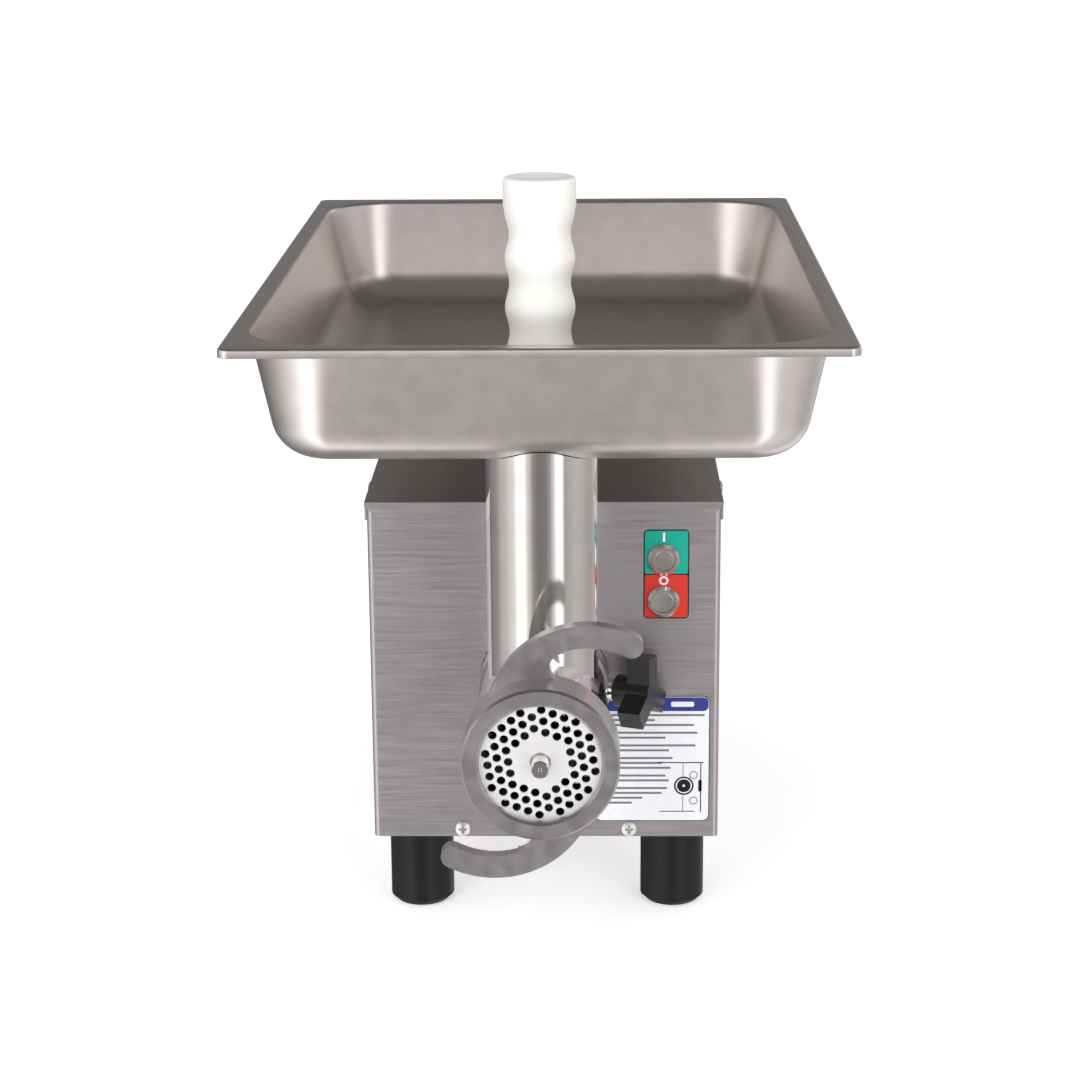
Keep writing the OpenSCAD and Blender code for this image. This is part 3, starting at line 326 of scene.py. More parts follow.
# %% Mould grain
def mould_group():
    """Even fine grain, as a blasted mould or a sand-cast wall has."""
    group, given, out = new_group(
        "mould grain",
        [("Stretch", "NodeSocketVector", (1, 1, 1)), ("Scale", "NodeSocketFloat", 1500.0)],
        ["Height", "Patch"],
    )
    join(group, stretched_noise(group, given, "Stretch", "Scale", 2.0), out.inputs["Height"])
    where = add(group, "ShaderNodeTexCoord").outputs["Object"]
    patch = add(group, "ShaderNodeTexNoise")
    patch.inputs["Scale"].default_value = 22
    join(group, where, patch.inputs["Vector"])
    join(group, patch.outputs["Fac"], out.inputs["Patch"])
    return group


BRUSHED, SMEARS, MOULD = brushed_group(), smear_group(), mould_group()
print("node groups:", [g.name for g in bpy.data.node_groups])


# %% Put a group's values to use
def use_group(tree, group, stretch, scale):
    node = add(tree, "ShaderNodeGroup", node_tree=group)
    node.inputs["Stretch"].default_value = stretch
    node.inputs["Scale"].default_value = scale
    return node


def between(tree, factor, low, high):
    """A value that runs from low to high as factor runs from 0 to 1."""
    node = add(tree, "ShaderNodeMapRange")
    join(tree, factor, node.inputs["Value"])
    node.inputs["To Min"].default_value = low
    node.inputs["To Max"].default_value = high
    return node.outputs[0]


def tinted(tree, factor, dark, light):
    node = add(tree, "ShaderNodeMix", data_type="RGBA")
    join(tree, factor, node.inputs["Factor"])
    node.inputs["A"].default_value = (*dark, 1)
    node.inputs["B"].default_value = (*light, 1)
    return node.outputs["Result"]


def bumped(tree, shader, height, depth, strength):
    bump = add(tree, "ShaderNodeBump")
    bump.inputs["Distance"].default_value = depth
    bump.inputs["Strength"].default_value = strength
    join(tree, height, bump.inputs["Height"])
    join(tree, bump.outputs[0], shader.inputs["Normal"])


# %% [markdown]
# ## Metals
# All the steels are one recipe with different numbers: a metal whose roughness follows the brushing,
# with soft wiped patches over it. What changes is which way the lines run, how coarse they are and how
# much the metal is polished.

# %% Metal finishes
ALONG_X = (1, 60, 60)
ALONG_Y = (60, 1, 60)
EVEN = (1, 1, 1)


def shaded(colour, share):
    return tuple(c * share for c in colour)


def metal(name, colour, rough, stretch=EVEN, line_scale=30.0, line_depth=0.0, spread=0.08, smear=0.06):
    material, tree, shader = new_tree(name)
    shader.inputs["Metallic"].default_value = 1.0
    lines = use_group(tree, BRUSHED, stretch, line_scale)
    smears = use_group(tree, SMEARS, EVEN, 14.0)
    tone = tinted(tree, lines.outputs["Tone"], shaded(colour, 0.92), colour)
    join(tree, tone, shader.inputs["Base Color"])
    by_line = between(tree, lines.outputs["Tone"], rough, rough + spread)
    by_smear = maths(tree, "MULTIPLY", smears.outputs["Mask"], smear)
    join(tree, maths(tree, "ADD", by_line, by_smear), shader.inputs["Roughness"])
    if line_depth:
        bumped(tree, shader, lines.outputs["Height"], line_depth, 0.5)
    return material


sheet_steel = metal("brushed sheet", (0.55, 0.51, 0.54), 0.30, ALONG_X, 26.0, 0.00006, 0.14)
top_steel = metal("brushed cover top", (0.62, 0.60, 0.60), 0.26, ALONG_X, 26.0, 0.00005, 0.12)
side_steel = metal("brushed sheet sides", (0.62, 0.60, 0.61), 0.30, ALONG_Y, 26.0, 0.00006, 0.14)
# Painted highlight: the sheet's rounded edges get a far brighter steel colour than its faces, so the folds
# show a bright line
edge_highlight_steel = metal("painted highlight edge", (0.80, 0.77, 0.77), 0.20, ALONG_X, 60.0)
pan_steel = metal("drawn pan", (0.72, 0.675, 0.655), 0.29, EVEN, 90.0, 0.0, 0.02, 0.02)
pan_rim_steel = metal("pan rim", (0.66, 0.61, 0.585), 0.24, EVEN, 90.0, 0.0, 0.02, 0.02)
mirror_steel = metal("polished casting", (0.80, 0.785, 0.775), 0.055, EVEN, 60.0, 0.00002, 0.03, 0.07)
ring_steel = metal("satin ring", (0.52, 0.495, 0.505), 0.27, EVEN, 120.0, 0.00004, 0.10)
ring_edge = metal("polished ring edge", (0.84, 0.82, 0.80), 0.08, EVEN, 80.0)
knife_steel = metal("ground knife", (0.60, 0.60, 0.60), 0.30, ALONG_X, 60.0, 0.00003, 0.12)
bright_steel = metal("zinc plate", (0.72, 0.73, 0.72), 0.36, EVEN, 90.0)
nickel = metal("satin nickel", (0.86, 0.83, 0.79), 0.14, EVEN, 90.0)
ground_steel = metal("ground shaft", (0.66, 0.67, 0.68), 0.22, ALONG_Y, 60.0)
gear_steel = metal("oiled gear", (0.40, 0.40, 0.41), 0.28, EVEN, 60.0)
bronze = metal("turned bronze", (0.66, 0.45, 0.22), 0.24, ALONG_Y, 60.0)
copper = metal("varnished copper", (0.62, 0.28, 0.12), 0.30, (60, 1, 60), 80.0)
print("metals made:", len(bpy.data.materials))

# %% [markdown]
# ## Castings, plastics and rubber
# These share one recipe too: a mould's fine grain in the bump, and a faint patchiness in colour and
# gloss, so that nothing reads as one flat colour.

# %% Moulded and cast finishes
def moulded(name, colour, rough, grain=1400.0, depth=0.00008, metallic=0.0, soft=0.0, shine=0.5):
    material, tree, shader = new_tree(name)
    shader.inputs["Specular IOR Level"].default_value = shine
    shader.inputs["Metallic"].default_value = metallic
    if soft:
        shader.inputs["Subsurface Weight"].default_value = soft
        shader.inputs["Subsurface Radius"].default_value = (0.006, 0.005, 0.004)
    mould = use_group(tree, MOULD, EVEN, grain)
    smears = use_group(tree, SMEARS, EVEN, 20.0)
    join(tree, tinted(tree, mould.outputs["Patch"], shaded(colour, 0.90), shaded(colour, 1.05)),
         shader.inputs["Base Color"])
    by_patch = between(tree, mould.outputs["Patch"], rough - 0.04, rough + 0.04)
    by_smear = maths(tree, "MULTIPLY", smears.outputs["Mask"], 0.08)
    join(tree, maths(tree, "ADD", by_patch, by_smear), shader.inputs["Roughness"])
    bumped(tree, shader, mould.outputs["Height"], depth, 0.35)
    return material


casting = moulded("cast aluminium", (0.55, 0.56, 0.58), 0.46, 900.0, 0.00025, 0.9)
lamination = moulded("varnished lamination", (0.26, 0.27, 0.28), 0.45, 900.0, 0.0001, 0.7)
foot_rubber = moulded("moulded foot", (0.010, 0.0095, 0.0105), 0.38, 700.0, 0.00012, shine=0.25)
knob_plastic = moulded("knob thermoset", (0.011, 0.0105, 0.011), 0.30, 1600.0, 0.00005)
black_nylon = moulded("black nylon", (0.03, 0.03, 0.032), 0.45)
seal_rubber = moulded("brown nitrile", (0.14, 0.06, 0.03), 0.5)
white_plastic = moulded("white polyethylene", (0.90, 0.885, 0.855), 0.36, 500.0, 0.00012, 0.0, 0.15)
cream_plastic = moulded("capacitor can", (0.78, 0.76, 0.68), 0.35)
green_plastic = moulded("green contact block", (0.02, 0.33, 0.22), 0.35)
red_plastic = moulded("red contact block", (0.60, 0.03, 0.02), 0.35)
print("materials made:", len(bpy.data.materials))

# %% [markdown]
# ## Dressing the CAD nodes
# Most nodes already have the right shape, and only need a finish and the small rounding that every
# real edge has. A Bevel modifier adds that without touching the mesh. The dictionary says which
# finish each node takes.

# %% Finishes for the CAD nodes
FINISHES = {
    sheet_steel: ["rear_panel"],
    side_steel: ["base_plate", "motor_cradle", "electrical_tray", "capacitor_clamp"],
    top_steel: ["pan_rest"],
    bright_steel: ["case_screws", "foot_screws", "gearbox_screws", "motor_tie_bolts",
                   "clamp_screw", "plate_key", "output_bearings", "layshaft_bearings", "motor_bearings"],
    knife_steel: ["knife", "plate_bush"],
    ground_steel: ["drive_shaft", "layshaft", "motor_shaft"],
    gear_steel: ["output_gear", "layshaft_gear", "motor_pinion"],
    bronze: ["head_bush", "thrust_washer"],
    copper: ["stator_windings"],
    casting: ["gearbox_cover", "gearbox_housing", "bearing_web", "motor_housing", "motor_end_bells"],
    lamination: ["stator_core", "rotor_core"],
    foot_rubber: ["pan_rest_pads"],
    black_nylon: ["cable_gland", "cooling_fan", "contactor"],
    seal_rubber: ["shaft_seal"],
    cream_plastic: ["run_capacitor"],
    green_plastic: ["start_switch"],
    red_plastic: ["stop_switch"],
}


def dress(node, *materials):
    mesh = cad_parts[node].data
    mesh.materials.clear()
    for material in materials:
        mesh.materials.append(material)


def round_edges(piece, width, segments=2, angle=35):
    bevel = piece.modifiers.new("rounded edges", "BEVEL")
    bevel.width = width
    bevel.segments = segments
    bevel.limit_method = "ANGLE"
    bevel.angle_limit = math.radians(angle)
    bevel.harden_normals = True
    return bevel


for finish, nodes in FINISHES.items():
    for node in nodes:
        dress(node, finish)
dress("case_wrap", sheet_steel, edge_highlight_steel)
dress("top_cover", top_steel, edge_highlight_steel)
# The bevel faces on the case wrap and top cover take that brighter steel, a painted highlight over the real
# rounding of the folds
for node in ("top_cover", "case_wrap", "rear_panel", "pan_rest"):
    fold = round_edges(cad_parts[node], 0.45 * MM)
    if node in ("top_cover", "case_wrap"):
        fold.material = 1
round_edges(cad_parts["case_screws"], 0.15 * MM)
for node in ("knife", "cable_gland", "pan_rest_pads"):
    round_edges(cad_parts[node], 0.4 * MM)
print("dressed", sum(len(v) for v in FINISHES.values()) + 2, "CAD nodes")

# %% [markdown]
# ## Ways to make a piece
# Almost everything on a meat grinder is turned on a lathe, cut from a plate or pressed from sheet, and
# the helpers follow those trades: spin a profile, thicken an outline, or stack rings of points and skin
# them. Each returns an object with smooth faces and with creases kept sharp.

# %% From a bmesh to a piece
def finish_mesh(bm, crease):
    bmesh.ops.remove_doubles(bm, verts=bm.verts, dist=1e-7)
    bmesh.ops.recalc_face_normals(bm, faces=bm.faces)
    limit = math.radians(crease)
    for face in bm.faces:
        face.smooth = True
    for edge in bm.edges:
        edge.smooth = len(edge.link_faces) == 2 and edge.calc_face_angle(0) < limit


def piece_from(name, bm, *materials, crease=32):
    finish_mesh(bm, crease)
    mesh = bpy.data.meshes.new(name)
    bm.to_mesh(mesh)
    bm.free()
    for material in materials:
        mesh.materials.append(material)
    piece = bpy.data.objects.new(name, mesh)
    bpy.context.scene.collection.objects.link(piece)
    return piece


# %% Skin and spin
def skin(bm, rings, closed=False, material=0):
    """Quads between rings of the same number of points. Each ring goes all the way round."""
    made = [[bm.verts.new(p) for p in ring] for ring in rings]
    pairs = list(zip(made, made[1:])) + ([(made[-1], made[0])] if closed else [])
    for low, high in pairs:
        n = len(low)
        for i in range(n):
            j = (i + 1) % n
            corners = (low[i], low[j], high[j], high[i])
            if len(set(corners)) == 4:
                bm.faces.new(corners).material_index = material
    return made


def cap(bm, ring, material=0):
    bm.faces.new(ring).material_index = material


def circle_points(radius, height, steps, place):
    return [place(radius * math.cos(a), radius * math.sin(a), height)
            for a in (2 * math.pi * i / steps for i in range(steps))]


def turn(bm, profile, place, steps=128, closed=False, material=0):
    """Spins a profile of (radius, height). A radius of 0 at either end becomes a flat cap's middle."""
    rings = skin(bm, [circle_points(max(r, 1e-6), h, steps, place) for r, h in profile], closed, material)
    if not closed:
        cap(bm, rings[0], material)
        cap(bm, rings[-1], material)


def arc(centre, radius, start, end, steps):
    """Points on an arc, with angles in degrees."""
    return [(centre[0] + radius * math.cos(math.radians(start + (end - start) * i / steps)),
             centre[1] + radius * math.sin(math.radians(start + (end - start) * i / steps)))
            for i in range(steps + 1)]


def upright(x, y):
    return lambda u, v, h: (x + u, y + v, h)


# %% Join the frame
def settle(piece, body, slot, *nodes):
    """Rides on the body and stands for its CAD nodes. The slot is not used."""
    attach(piece, body)
    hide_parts(*nodes)
    print(piece.name, "stands for", nodes, "with", len(piece.data.polygons), "faces")


def modified(piece, kind, **settings):
    """Adds a modifier and applies it to the piece's own mesh."""
    modifier = piece.modifiers.new(kind.lower(), kind)
    for key, value in settings.items():
        setattr(modifier, key, value)
    bpy.context.view_layer.update()
    solid = bpy.data.meshes.new_from_object(piece.evaluated_get(bpy.context.evaluated_depsgraph_get()))
    piece.modifiers.clear()
    piece.data = solid


# %% Measures taken from the frame
def middle(node):
    low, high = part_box(node)
    return (Vector(low) + Vector(high)) / 2


AXIS_Z = middle("plate_bush").z
PAN_LOW, PAN_HIGH = (Vector(v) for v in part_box("pan_rim_band"))
STOMPER_LOW, STOMPER_HIGH = (Vector(v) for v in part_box("stomper"))
TUBE_Y = middle("stomper").y
CASE_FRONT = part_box("case_wrap")[0][1]
print("barrel axis", round(AXIS_Z, 4), "tube", round(TUBE_Y, 4), "case front", round(CASE_FRONT, 4))

# %% [markdown]
# ## The feed pan
# A steam-table pan is drawn from one sheet: a flat rim with a turned-down lip, a tight round shoulder,
# walls that lean in, and a floor that runs into them on a large radius. All of that is one section
# swept round a rectangle with round corners, so the mesh is a stack of such rectangles. Taking the
# section down the inside, round the lip and back under gives the sheet its true thickness. The hole in
# the floor and the ring under it are cut and joined afterwards, as they are on the real pan.

# %% The pan's sizes
PAN_SHEET = 1.0 * MM
RIM = 11.5 * MM
LIP = 5.0 * MM
CORNER = 45.0 * MM
LOW_CORNER = 31.5 * MM
RIM_CORNER = 6.0 * MM
FLOOR_RADIUS = 22.0 * MM
DRAFT = 8.5
SHOULDER = 2.5 * MM
PAN_MIDDLE = (PAN_LOW + PAN_HIGH) / 2
PAN_TOP = PAN_HIGH.z
PAN_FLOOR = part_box("feed_pan")[0][2] + PAN_SHEET
HALF_X = (PAN_HIGH.x - PAN_LOW.x) / 2
HALF_Y = (PAN_HIGH.y - PAN_LOW.y) / 2
CORNER_STEPS = 18
STRAIGHT_STEPS = 10
print("pan floor at", round(PAN_FLOOR, 4), "rim at", round(PAN_TOP, 4))


# %% One ring of the pan, and the section that the rings follow
def rounded_rectangle(inset, z, radius):
    """Four corner arcs joined by straight runs, inset from the rim's edge."""
    half_x, half_y = HALF_X - inset, HALF_Y - inset
    corners = []
    for quarter, (sx, sy) in enumerate(((1, 1), (-1, 1), (-1, -1), (1, -1))):
        centre = (sx * (half_x - radius), sy * (half_y - radius))
        corners.append(arc(centre, radius, 90 * quarter, 90 * quarter + 90, CORNER_STEPS))
    points = []
    for corner, following in zip(corners, corners[1:] + corners[:1]):
        points += corner
        start, end = Vector(corner[-1]), Vector(following[0])
        points += [start.lerp(end, i / STRAIGHT_STEPS) for i in range(1, STRAIGHT_STEPS)]
    return [(PAN_MIDDLE.x + p[0], PAN_MIDDLE.y + p[1], z) for p in points]


def wall_section(grow):
    """(inset, height, corner radius) from the shoulder down to the floor, grown outwards."""
    shoulder = SHOULDER - grow
    bend = arc((RIM - SHOULDER, PAN_TOP - SHOULDER), shoulder, 90, DRAFT, 6)
    section = [(inset, z, CORNER + RIM - inset) for inset, z in bend]
    radius = FLOOR_RADIUS + grow
    wall_foot = RIM + (PAN_TOP - PAN_FLOOR) * math.tan(math.radians(DRAFT)) - grow
    curve = arc((wall_foot + radius, PAN_FLOOR - grow + radius), radius, 180 + DRAFT, 270, 14)
    section += [(inset, z, LOW_CORNER + grow + wall_foot - inset) for inset, z in curve]
    return section


def pan_section():
    """From the floor up the inside, over the rim, round the lip and back under to the floor."""
    edge = 1.5 * MM
    over = arc((edge, PAN_TOP - edge), edge, 90, 180, 4)
    under = arc((edge, PAN_TOP - edge), edge - PAN_SHEET, 180, 90, 3)
    section = wall_section(0.0)[::-1]
    section += [(5.0 * MM, PAN_TOP, 20 * MM), (2.6 * MM, PAN_TOP, RIM_CORNER)]
    section += [(inset, z, RIM_CORNER - inset) for inset, z in over]
    section += [(0.0, PAN_TOP - LIP + 0.2 * MM, RIM_CORNER), (0.2 * MM, PAN_TOP - LIP, RIM_CORNER)]
    section += [(PAN_SHEET, PAN_TOP - LIP, RIM_CORNER - PAN_SHEET)]
    section += [(inset, z, RIM_CORNER - inset) for inset, z in under]
    section += [(5.0 * MM, PAN_TOP - PAN_SHEET, 20 * MM)]
    return section + wall_section(PAN_SHEET)


# %% Plugs for the hole and the ring under it
def floor_rise(y):
    """How far the pan's floor has risen at y, where its front radius has begun."""
    flat_from = PAN_LOW.y + RIM + (PAN_TOP - PAN_FLOOR) * math.tan(math.radians(DRAFT)) + FLOOR_RADIUS
    past = min(max(flat_from - y, 0.0), FLOOR_RADIUS)
    return FLOOR_RADIUS - math.sqrt(FLOOR_RADIUS ** 2 - past ** 2)


def plug(name, radius, low, high, follow=False):
    """A solid round plug on the tube's axis, whose top can follow the pan's floor."""
    bm = bmesh.new()
    foot = circle_points(radius, low, 96, upright(0, TUBE_Y))
    head = [(x, y, high + (floor_rise(y) if follow else 0)) for x, y, z in foot]
    rings = skin(bm, [foot, head])
    cap(bm, rings[0])
    cap(bm, rings[-1])
    return piece_from(name, bm)


def combine(piece, other, operation):
    modified(piece, "BOOLEAN", operation=operation, object=other, solver="EXACT")
    bpy.data.objects.remove(other)


def soften(piece, crease=32):
    """Smooth shading again after a cut, with creases kept sharp."""
    bm = bmesh.new()
    bm.from_mesh(piece.data)
    finish_mesh(bm, crease)
    bm.to_mesh(piece.data)
    bm.free()


# %% Make the pan
bm = bmesh.new()
rings = skin(bm, [rounded_rectangle(inset, z, radius) for inset, z, radius in pan_section()])
cap(bm, rings[0])
cap(bm, rings[-1])
pan = piece_from("pan_drawn", bm, pan_steel, pan_rim_steel)
spigot_low, spigot_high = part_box("pan_spigot_ring")
spigot_r = (spigot_high[0] - spigot_low[0]) / 2
combine(pan, plug("spigot_plug", spigot_r, spigot_low[2], PAN_FLOOR - PAN_SHEET / 2, True), "UNION")
bore_foot, bore_top = spigot_low[2] - 5 * MM, PAN_FLOOR + 15 * MM
combine(pan, plug("spigot_bore", spigot_r - PAN_SHEET, bore_foot, bore_top), "DIFFERENCE")
soften(pan)
for face in pan.data.polygons:
    if face.center.z > PAN_TOP - LIP - MM and abs(face.normal.z) > 0.999:
        face.material_index = 1
settle(pan, "pan", "pan_steel", "feed_pan", "pan_rim_band", "pan_spigot_ring")

# %% [markdown]
# ## The stomper
# It is turned from one bar of white polyethylene: a handle with three finger grooves, a flange that
# stops it on the pan's floor, and the piston that goes down the tube. A profile spun round its axis is
# the same operation. The grooves are a squared sine, which gives round crests and round valleys.

# %% The stomper's handle
HANDLE_R = 19.0 * MM
GROOVE_DEPTH = 2.3 * MM
GROOVE_PITCH = 25.5 * MM
GROOVES = 3
STEPS_PER_GROOVE = 20
FLANGE_R = 27.0 * MM
PISTON_R = 23.5 * MM
stomper_top = STOMPER_HIGH.z
groove_start = stomper_top - 17 * MM
flange_top = PAN_FLOOR + 9.6 * MM
flange_foot = PAN_FLOOR + 4.7 * MM
crest = HANDLE_R - 0.6 * MM
top = [(0, stomper_top - 1.0 * MM), (HANDLE_R - 8 * MM, stomper_top - 0.9 * MM)]
top += [(HANDLE_R - 5 * MM, stomper_top - 0.1 * MM), (HANDLE_R - 2.6 * MM, stomper_top)]
top += arc((HANDLE_R - 2.2 * MM, stomper_top - 2.2 * MM), 2.2 * MM, 90, 0, 6)
top += [(HANDLE_R, groove_start + 2 * MM)]
waves = []
for i in range(GROOVES * STEPS_PER_GROOVE + 1):
    share = i / STEPS_PER_GROOVE
    depth = GROOVE_DEPTH * math.sin(math.pi * share) ** 2
    waves.append((crest - depth, groove_start - share * GROOVE_PITCH))
print("handle:", GROOVES, "grooves in", len(waves), "points")

# %% Spin the stomper
foot = arc((HANDLE_R + 8 * MM, flange_top + 8 * MM), 8 * MM, 180, 232, 8)
foot += [(FLANGE_R - 1.2 * MM, flange_top)]
foot += arc((FLANGE_R - 1.2 * MM, flange_top - 1.2 * MM), 1.2 * MM, 80, 0, 4)
foot += [(FLANGE_R, flange_foot + 0.5 * MM), (FLANGE_R - 0.5 * MM, flange_foot), (PISTON_R, flange_foot)]
piston_foot = STOMPER_LOW.z
foot += [(PISTON_R, piston_foot + 3 * MM)]
foot += arc((PISTON_R - 3 * MM, piston_foot + 3 * MM), 3 * MM, 0, -90, 5)[1:]
foot += [(0, piston_foot)]
bm = bmesh.new()
turn(bm, top + waves + foot, upright(0, TUBE_Y), 96)
stomper = piece_from("stomper_turned", bm, white_plastic)
settle(stomper, "stomper", "white_plastic", "stomper")

# %% [markdown]
# ## Printed labels
# Both labels are laminated plastic, a third of a millimetre thick. Instead of an image, each colour is a
# thin layer of its own shape, stacked inside that thickness, so its edges stay crisp from any distance.
# The buttons carry only the two plain marks for on and off, and the large label a plain sketch of the
# head and its knob with grey bars where instructions go.

# %% Label finishes
def laminate(name, colour):
    return moulded(name, colour, 0.24, 500.0, 0.00002)


label_white = laminate("label white", (0.86, 0.88, 0.92))
label_black = laminate("label black", (0.012, 0.012, 0.014))
label_green = laminate("label green", (0.0, 0.40, 0.30))
label_red = laminate("label red", (0.70, 0.032, 0.022))
label_blue = laminate("label blue", (0.028, 0.045, 0.28))
label_grey = laminate("label grey", (0.20, 0.20, 0.21))
print("label finishes:", [m.name for m in bpy.data.materials if m.name.startswith("label")])


# %% Flat shapes on the case front
def outline(width, height, radius, x=0.0, z=0.0, steps=6):
    points = []
    for quarter, (sx, sz) in enumerate(((1, 1), (-1, 1), (-1, -1), (1, -1))):
        centre = (x + sx * (width / 2 - radius), z + sz * (height / 2 - radius))
        points += arc(centre, radius, 90 * quarter, 90 * quarter + 90, steps)
    return points


def layer(bm, points, low, high, material):
    """A flat shape on the case front, from low to high above it, in millimetres."""
    back = [bm.verts.new((x, CASE_FRONT - low * MM, z)) for x, z in points]
    front = [bm.verts.new((x, CASE_FRONT - high * MM, z)) for x, z in points]
    n = len(points)
    bm.faces.new(front).material_index = material
    bm.faces.new(back[::-1]).material_index = material
    for i in range(n):
        bm.faces.new((front[i], back[i], back[(i + 1) % n], front[(i + 1) % n])).material_index = material


def ring_layer(bm, x, z, outer, inner, low, high, material, steps=40):
    """A flat ring, made as a turned one lying on the case front."""
    def place(u, v, h):
        return (x + u, CASE_FRONT - h, z + v)
    section = [(outer, low * MM), (outer, high * MM), (inner, high * MM), (inner, low * MM)]
    turn(bm, section, place, steps, closed=True, material=material)


# %% The buttons' label
label_low, label_high = (Vector(v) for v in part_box("button_label"))
label_mid = (label_low + label_high) / 2
label_w, label_h = label_high.x - label_low.x, label_high.z - label_low.z
BORDER = 0.7 * MM
half_h = label_h / 2 - 1.5 * BORDER
bm = bmesh.new()
BLACK, GREEN, RED, WHITE = range(4)
layer(bm, outline(label_w, label_h, 2.5 * MM, label_mid.x, label_mid.z), 0, 0.20, BLACK)
for sign, colour in ((1, GREEN), (-1, RED)):
    z = label_mid.z + sign * (half_h / 2 + BORDER / 2)
    shape = outline(label_w - 2 * BORDER, half_h, 1.2 * MM, label_mid.x, z)
    layer(bm, shape, 0.20, 0.25, colour)
button_x = middle("start_cap").x
on_z, off_z = middle("start_cap").z, middle("stop_cap").z
layer(bm, outline(1.3 * MM, 5.2 * MM, 0.1 * MM, button_x, on_z + 12.7 * MM, 2), 0.25, 0.3, WHITE)
ring_layer(bm, button_x, off_z + 12.0 * MM, 2.6 * MM, 1.5 * MM, 0.25, 0.3, WHITE)
button_label = piece_from("button_label_layers", bm, label_black, label_green, label_red, label_white)
settle(button_label, "case", "button_label", "button_label")

# %% The large label
label_low, label_high = (Vector(v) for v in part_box("instruction_label"))
label_mid = (label_low + label_high) / 2
NOTCH = 37.5 * MM
LABEL_W, LABEL_H, LABEL_CORNER = 65.0 * MM, 75.4 * MM, 4.0 * MM
label_mid.x = label_high.x - LABEL_W / 2


def notched(points, clearance=0.0):
    """The shape without what lies inside the circle that the head's socket needs."""
    radius = NOTCH + clearance
    fine = []
    for a, b in zip(points, points[1:] + points[:1]):
        a, b = Vector(a), Vector(b)
        steps = max(1, int((b - a).length / (0.4 * MM)))
        fine += [a.lerp(b, i / steps) for i in range(steps)]
    centre = Vector((0, AXIS_Z))
    pushed = []
    for p in fine:
        out = p - centre
        if out.length < radius:
            p = Vector((math.sqrt(max(radius ** 2 - out.y ** 2, 0)), p.y))
        if not pushed or (p - pushed[-1]).length > 1e-6:
            pushed.append(p)
    return [tuple(p) for p in pushed]


def bar(bm, left, right, z, thick, low, high, material):
    """A plain bar whose left end keeps clear of the socket."""
    reach = (NOTCH + 1.5 * MM) ** 2 - (z - AXIS_Z) ** 2
    left = max(left, math.sqrt(max(reach, 0)))
    shape = outline(right - left, thick, thick * 0.3, (left + right) / 2, z, 2)
    layer(bm, shape, low, high, material)


bm = bmesh.new()
WHITE, BLACK, BLUE, GREY = range(4)
left, right = label_mid.x - LABEL_W / 2, label_mid.x + LABEL_W / 2
top, bottom = label_mid.z + LABEL_H / 2, label_mid.z - LABEL_H / 2
layer(bm, notched(outline(LABEL_W, LABEL_H, LABEL_CORNER, label_mid.x, label_mid.z)), 0, 0.16, BLACK)
inner = outline(LABEL_W - MM, LABEL_H - MM, LABEL_CORNER - 0.5 * MM, label_mid.x, label_mid.z)
layer(bm, notched(inner, 0.5 * MM), 0.16, 0.20, WHITE)
BAND = 8.2 * MM
band = outline(LABEL_W - 1.6 * MM, BAND, 3 * MM, label_mid.x, top - 0.8 * MM - BAND / 2)
layer(bm, notched(band, 0.9 * MM), 0.20, 0.24, BLUE)
bar(bm, right - 22 * MM, right - 9 * MM, top - 4.9 * MM, 3 * MM, 0.24, 0.28, WHITE)
# Where each blank bar ends, in millimetres from the label's left edge. An empty paragraph is a gap.
BAR_ENDS = [(62, 34), (56,), (), (58, 40), (), (57, 42), (), (44, 38, 43), (), (40, 42), (), (41, 38, 27, 21)]
z = top - BAND - 3.2 * MM
for paragraph in BAR_ENDS:
    for end in paragraph:
        bar(bm, left + 2.4 * MM, left + end * MM, z, 1.25 * MM, 0.20, 0.24, GREY)
        z -= 2.95 * MM
    if not paragraph:
        z -= 1.7 * MM
large_label = piece_from("large_label_layers", bm, label_white, label_black, label_blue, label_grey)
print("large label: bars end", round((z - bottom) / MM, 1), "mm above its edge")

# %% The sketch on the large label
SKETCH_Z = bottom + 21.5 * MM
sketch_x = right - 14.5 * MM
bm = bmesh.new()
bm.from_mesh(large_label.data)
# Thin lines of the sketch, in millimetres from the middle of its rings: across, up, width, height
SKETCH_LINES = [
    (-2, 14, 26, 0.6), (-0.5, 9.5, 0.35, 9), (-0.5, -11, 0.35, 10), (-4, -15.5, 20, 0.5), (9.6, -1, 0.6, 30),
]
for across, up, width, height in SKETCH_LINES:
    x = min(sketch_x + across * MM, right - (width / 2 + 0.8) * MM)
    layer(bm, outline(width * MM, height * MM, 0.1 * MM, x, SKETCH_Z + up * MM, 1), 0.20, 0.24, BLACK)
ring_layer(bm, sketch_x, SKETCH_Z, 5.6 * MM, 4.6 * MM, 0.20, 0.24, BLACK)
ring_layer(bm, sketch_x, SKETCH_Z, 3.9 * MM, 0.8 * MM, 0.20, 0.24, BLACK)
ring_layer(bm, sketch_x + 5.5 * MM, SKETCH_Z + 6.5 * MM, 2.3 * MM, 1.9 * MM, 0.20, 0.24, BLACK)
ring_layer(bm, sketch_x + 5.5 * MM, SKETCH_Z - 9.0 * MM, 2.3 * MM, 1.9 * MM, 0.20, 0.24, BLACK)
layer(bm, outline(2.0 * MM, 7 * MM, 0.6 * MM, sketch_x + 9.2 * MM, SKETCH_Z, 2), 0.20, 0.24, BLACK)
finish_mesh(bm, 32)
bm.to_mesh(large_label.data)
bm.free()
settle(large_label, "case", "white_label", "instruction_label")
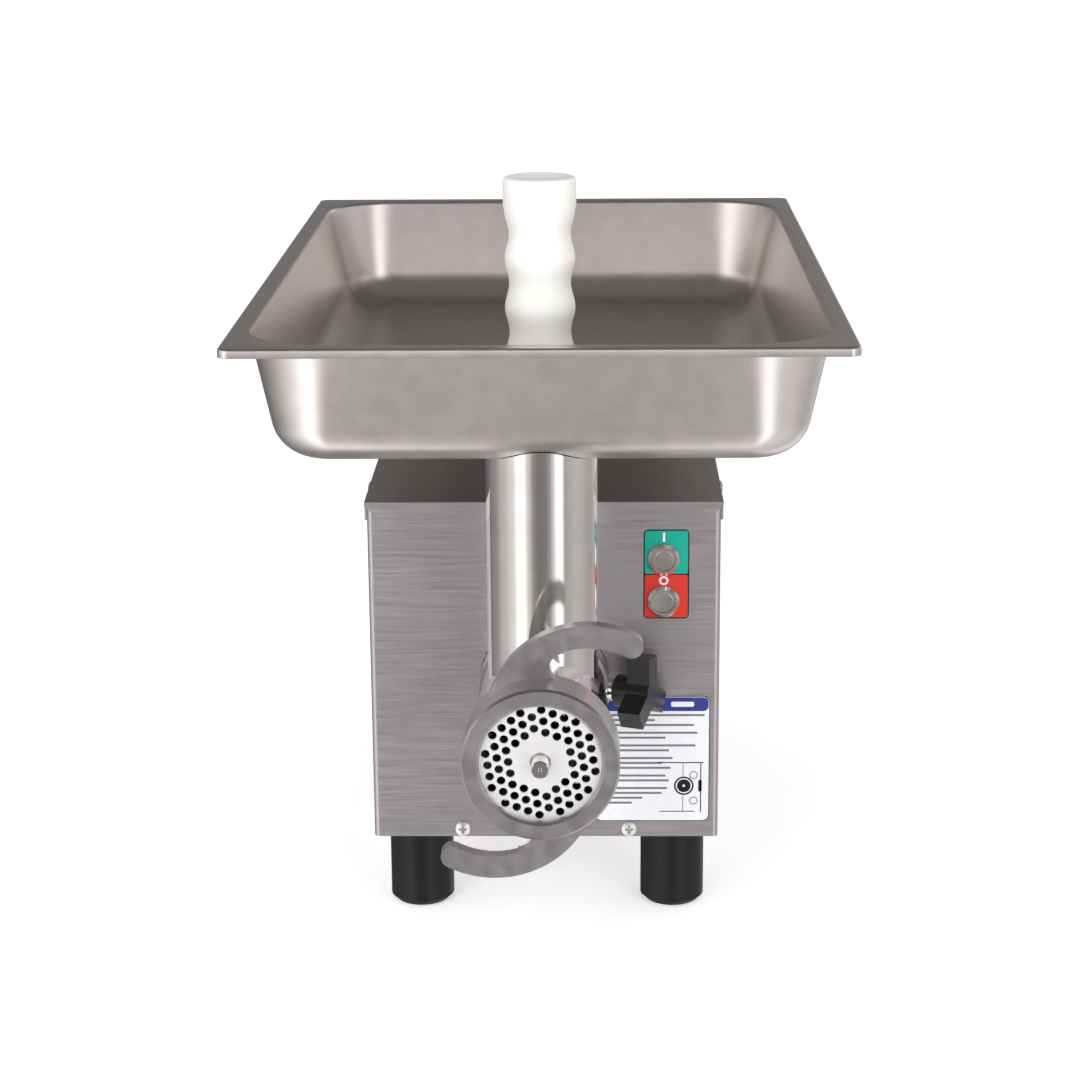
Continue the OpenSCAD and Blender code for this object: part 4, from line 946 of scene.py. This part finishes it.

# %% [markdown]
# ## The ring nut, plate and head
# The ring nut is ground satin on its faces and buffed on its edges, so its edges carry a line of bright
# reflection. A Bevel modifier can give the faces that it makes a material of their own, which is
# exactly that. The plate's holes get a small break in the same way.

# %% A plate with painted shade down its holes
def plate_finish():
    """Bright ground face; a little way down the holes the base colour goes near black, a painted shade for
    the shadow inside them.
    """
    material = metal("ground plate", (0.95, 0.94, 0.93), 0.34, ALONG_X, 60.0, 0.00003, 0.10)
    tree = material.node_tree
    shader = next(n for n in tree.nodes if n.type == "BSDF_PRINCIPLED")
    split = add(tree, "ShaderNodeSeparateXYZ")
    join(tree, add(tree, "ShaderNodeTexCoord").outputs["Object"], split.inputs[0])
    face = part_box("grinder_plate")[0][1]
    shader.inputs["Metallic"].default_value = 0.55
    depth = add(tree, "ShaderNodeMapRange")
    join(tree, split.outputs["Y"], depth.inputs["Value"])
    depth.inputs["From Min"].default_value = face + 0.3 * MM
    depth.inputs["From Max"].default_value = face + 1.6 * MM
    bright = shader.inputs["Base Color"].links[0].from_socket
    # Painted shade: the colour turns near black with depth down each hole, where the holes lie in shadow
    painted_hole_shade = add(tree, "ShaderNodeMix", data_type="RGBA")
    join(tree, depth.outputs[0], painted_hole_shade.inputs["Factor"])
    join(tree, bright, painted_hole_shade.inputs["A"])
    painted_hole_shade.inputs["B"].default_value = (0.012, 0.011, 0.011, 1)
    join(tree, painted_hole_shade.outputs["Result"], shader.inputs["Base Color"])
    return material


plate_steel = plate_finish()

# %% Polished edges
dress("ring_nut", ring_steel, ring_edge)
ring_bevel = round_edges(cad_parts["ring_nut"], 1.4 * MM, 3, 40)
ring_bevel.material = 1
dress("grinder_plate", plate_steel)
round_edges(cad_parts["grinder_plate"], 0.3 * MM, 2, 50)
dress("head_body", mirror_steel)
dress("feed_tube", mirror_steel)
dress("head_socket", mirror_steel)
dress("auger", mirror_steel)
round_edges(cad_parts["head_socket"], 0.8 * MM, 2, 60)
print("ring, plate and head dressed")

# %% [markdown]
# ## Controls, knob and feet
# The buttons are satin nickel with a slightly dished cap. The knob is moulded thermoset, whose corners
# are rounded by the mould, and the feet are moulded with a rounded foot.

# %% Small pieces
for node in ("button_bezels", "start_cap", "stop_cap"):
    dress(node, nickel)
    round_edges(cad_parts[node], 0.5 * MM, 3, 30)
dress("clamp_knob", knob_plastic)
round_edges(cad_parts["clamp_knob"], 1.0 * MM, 3, 40)
dress("feet", foot_rubber)
round_edges(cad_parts["feet"], 1.2 * MM, 3, 40)
print("controls, knob and feet dressed")
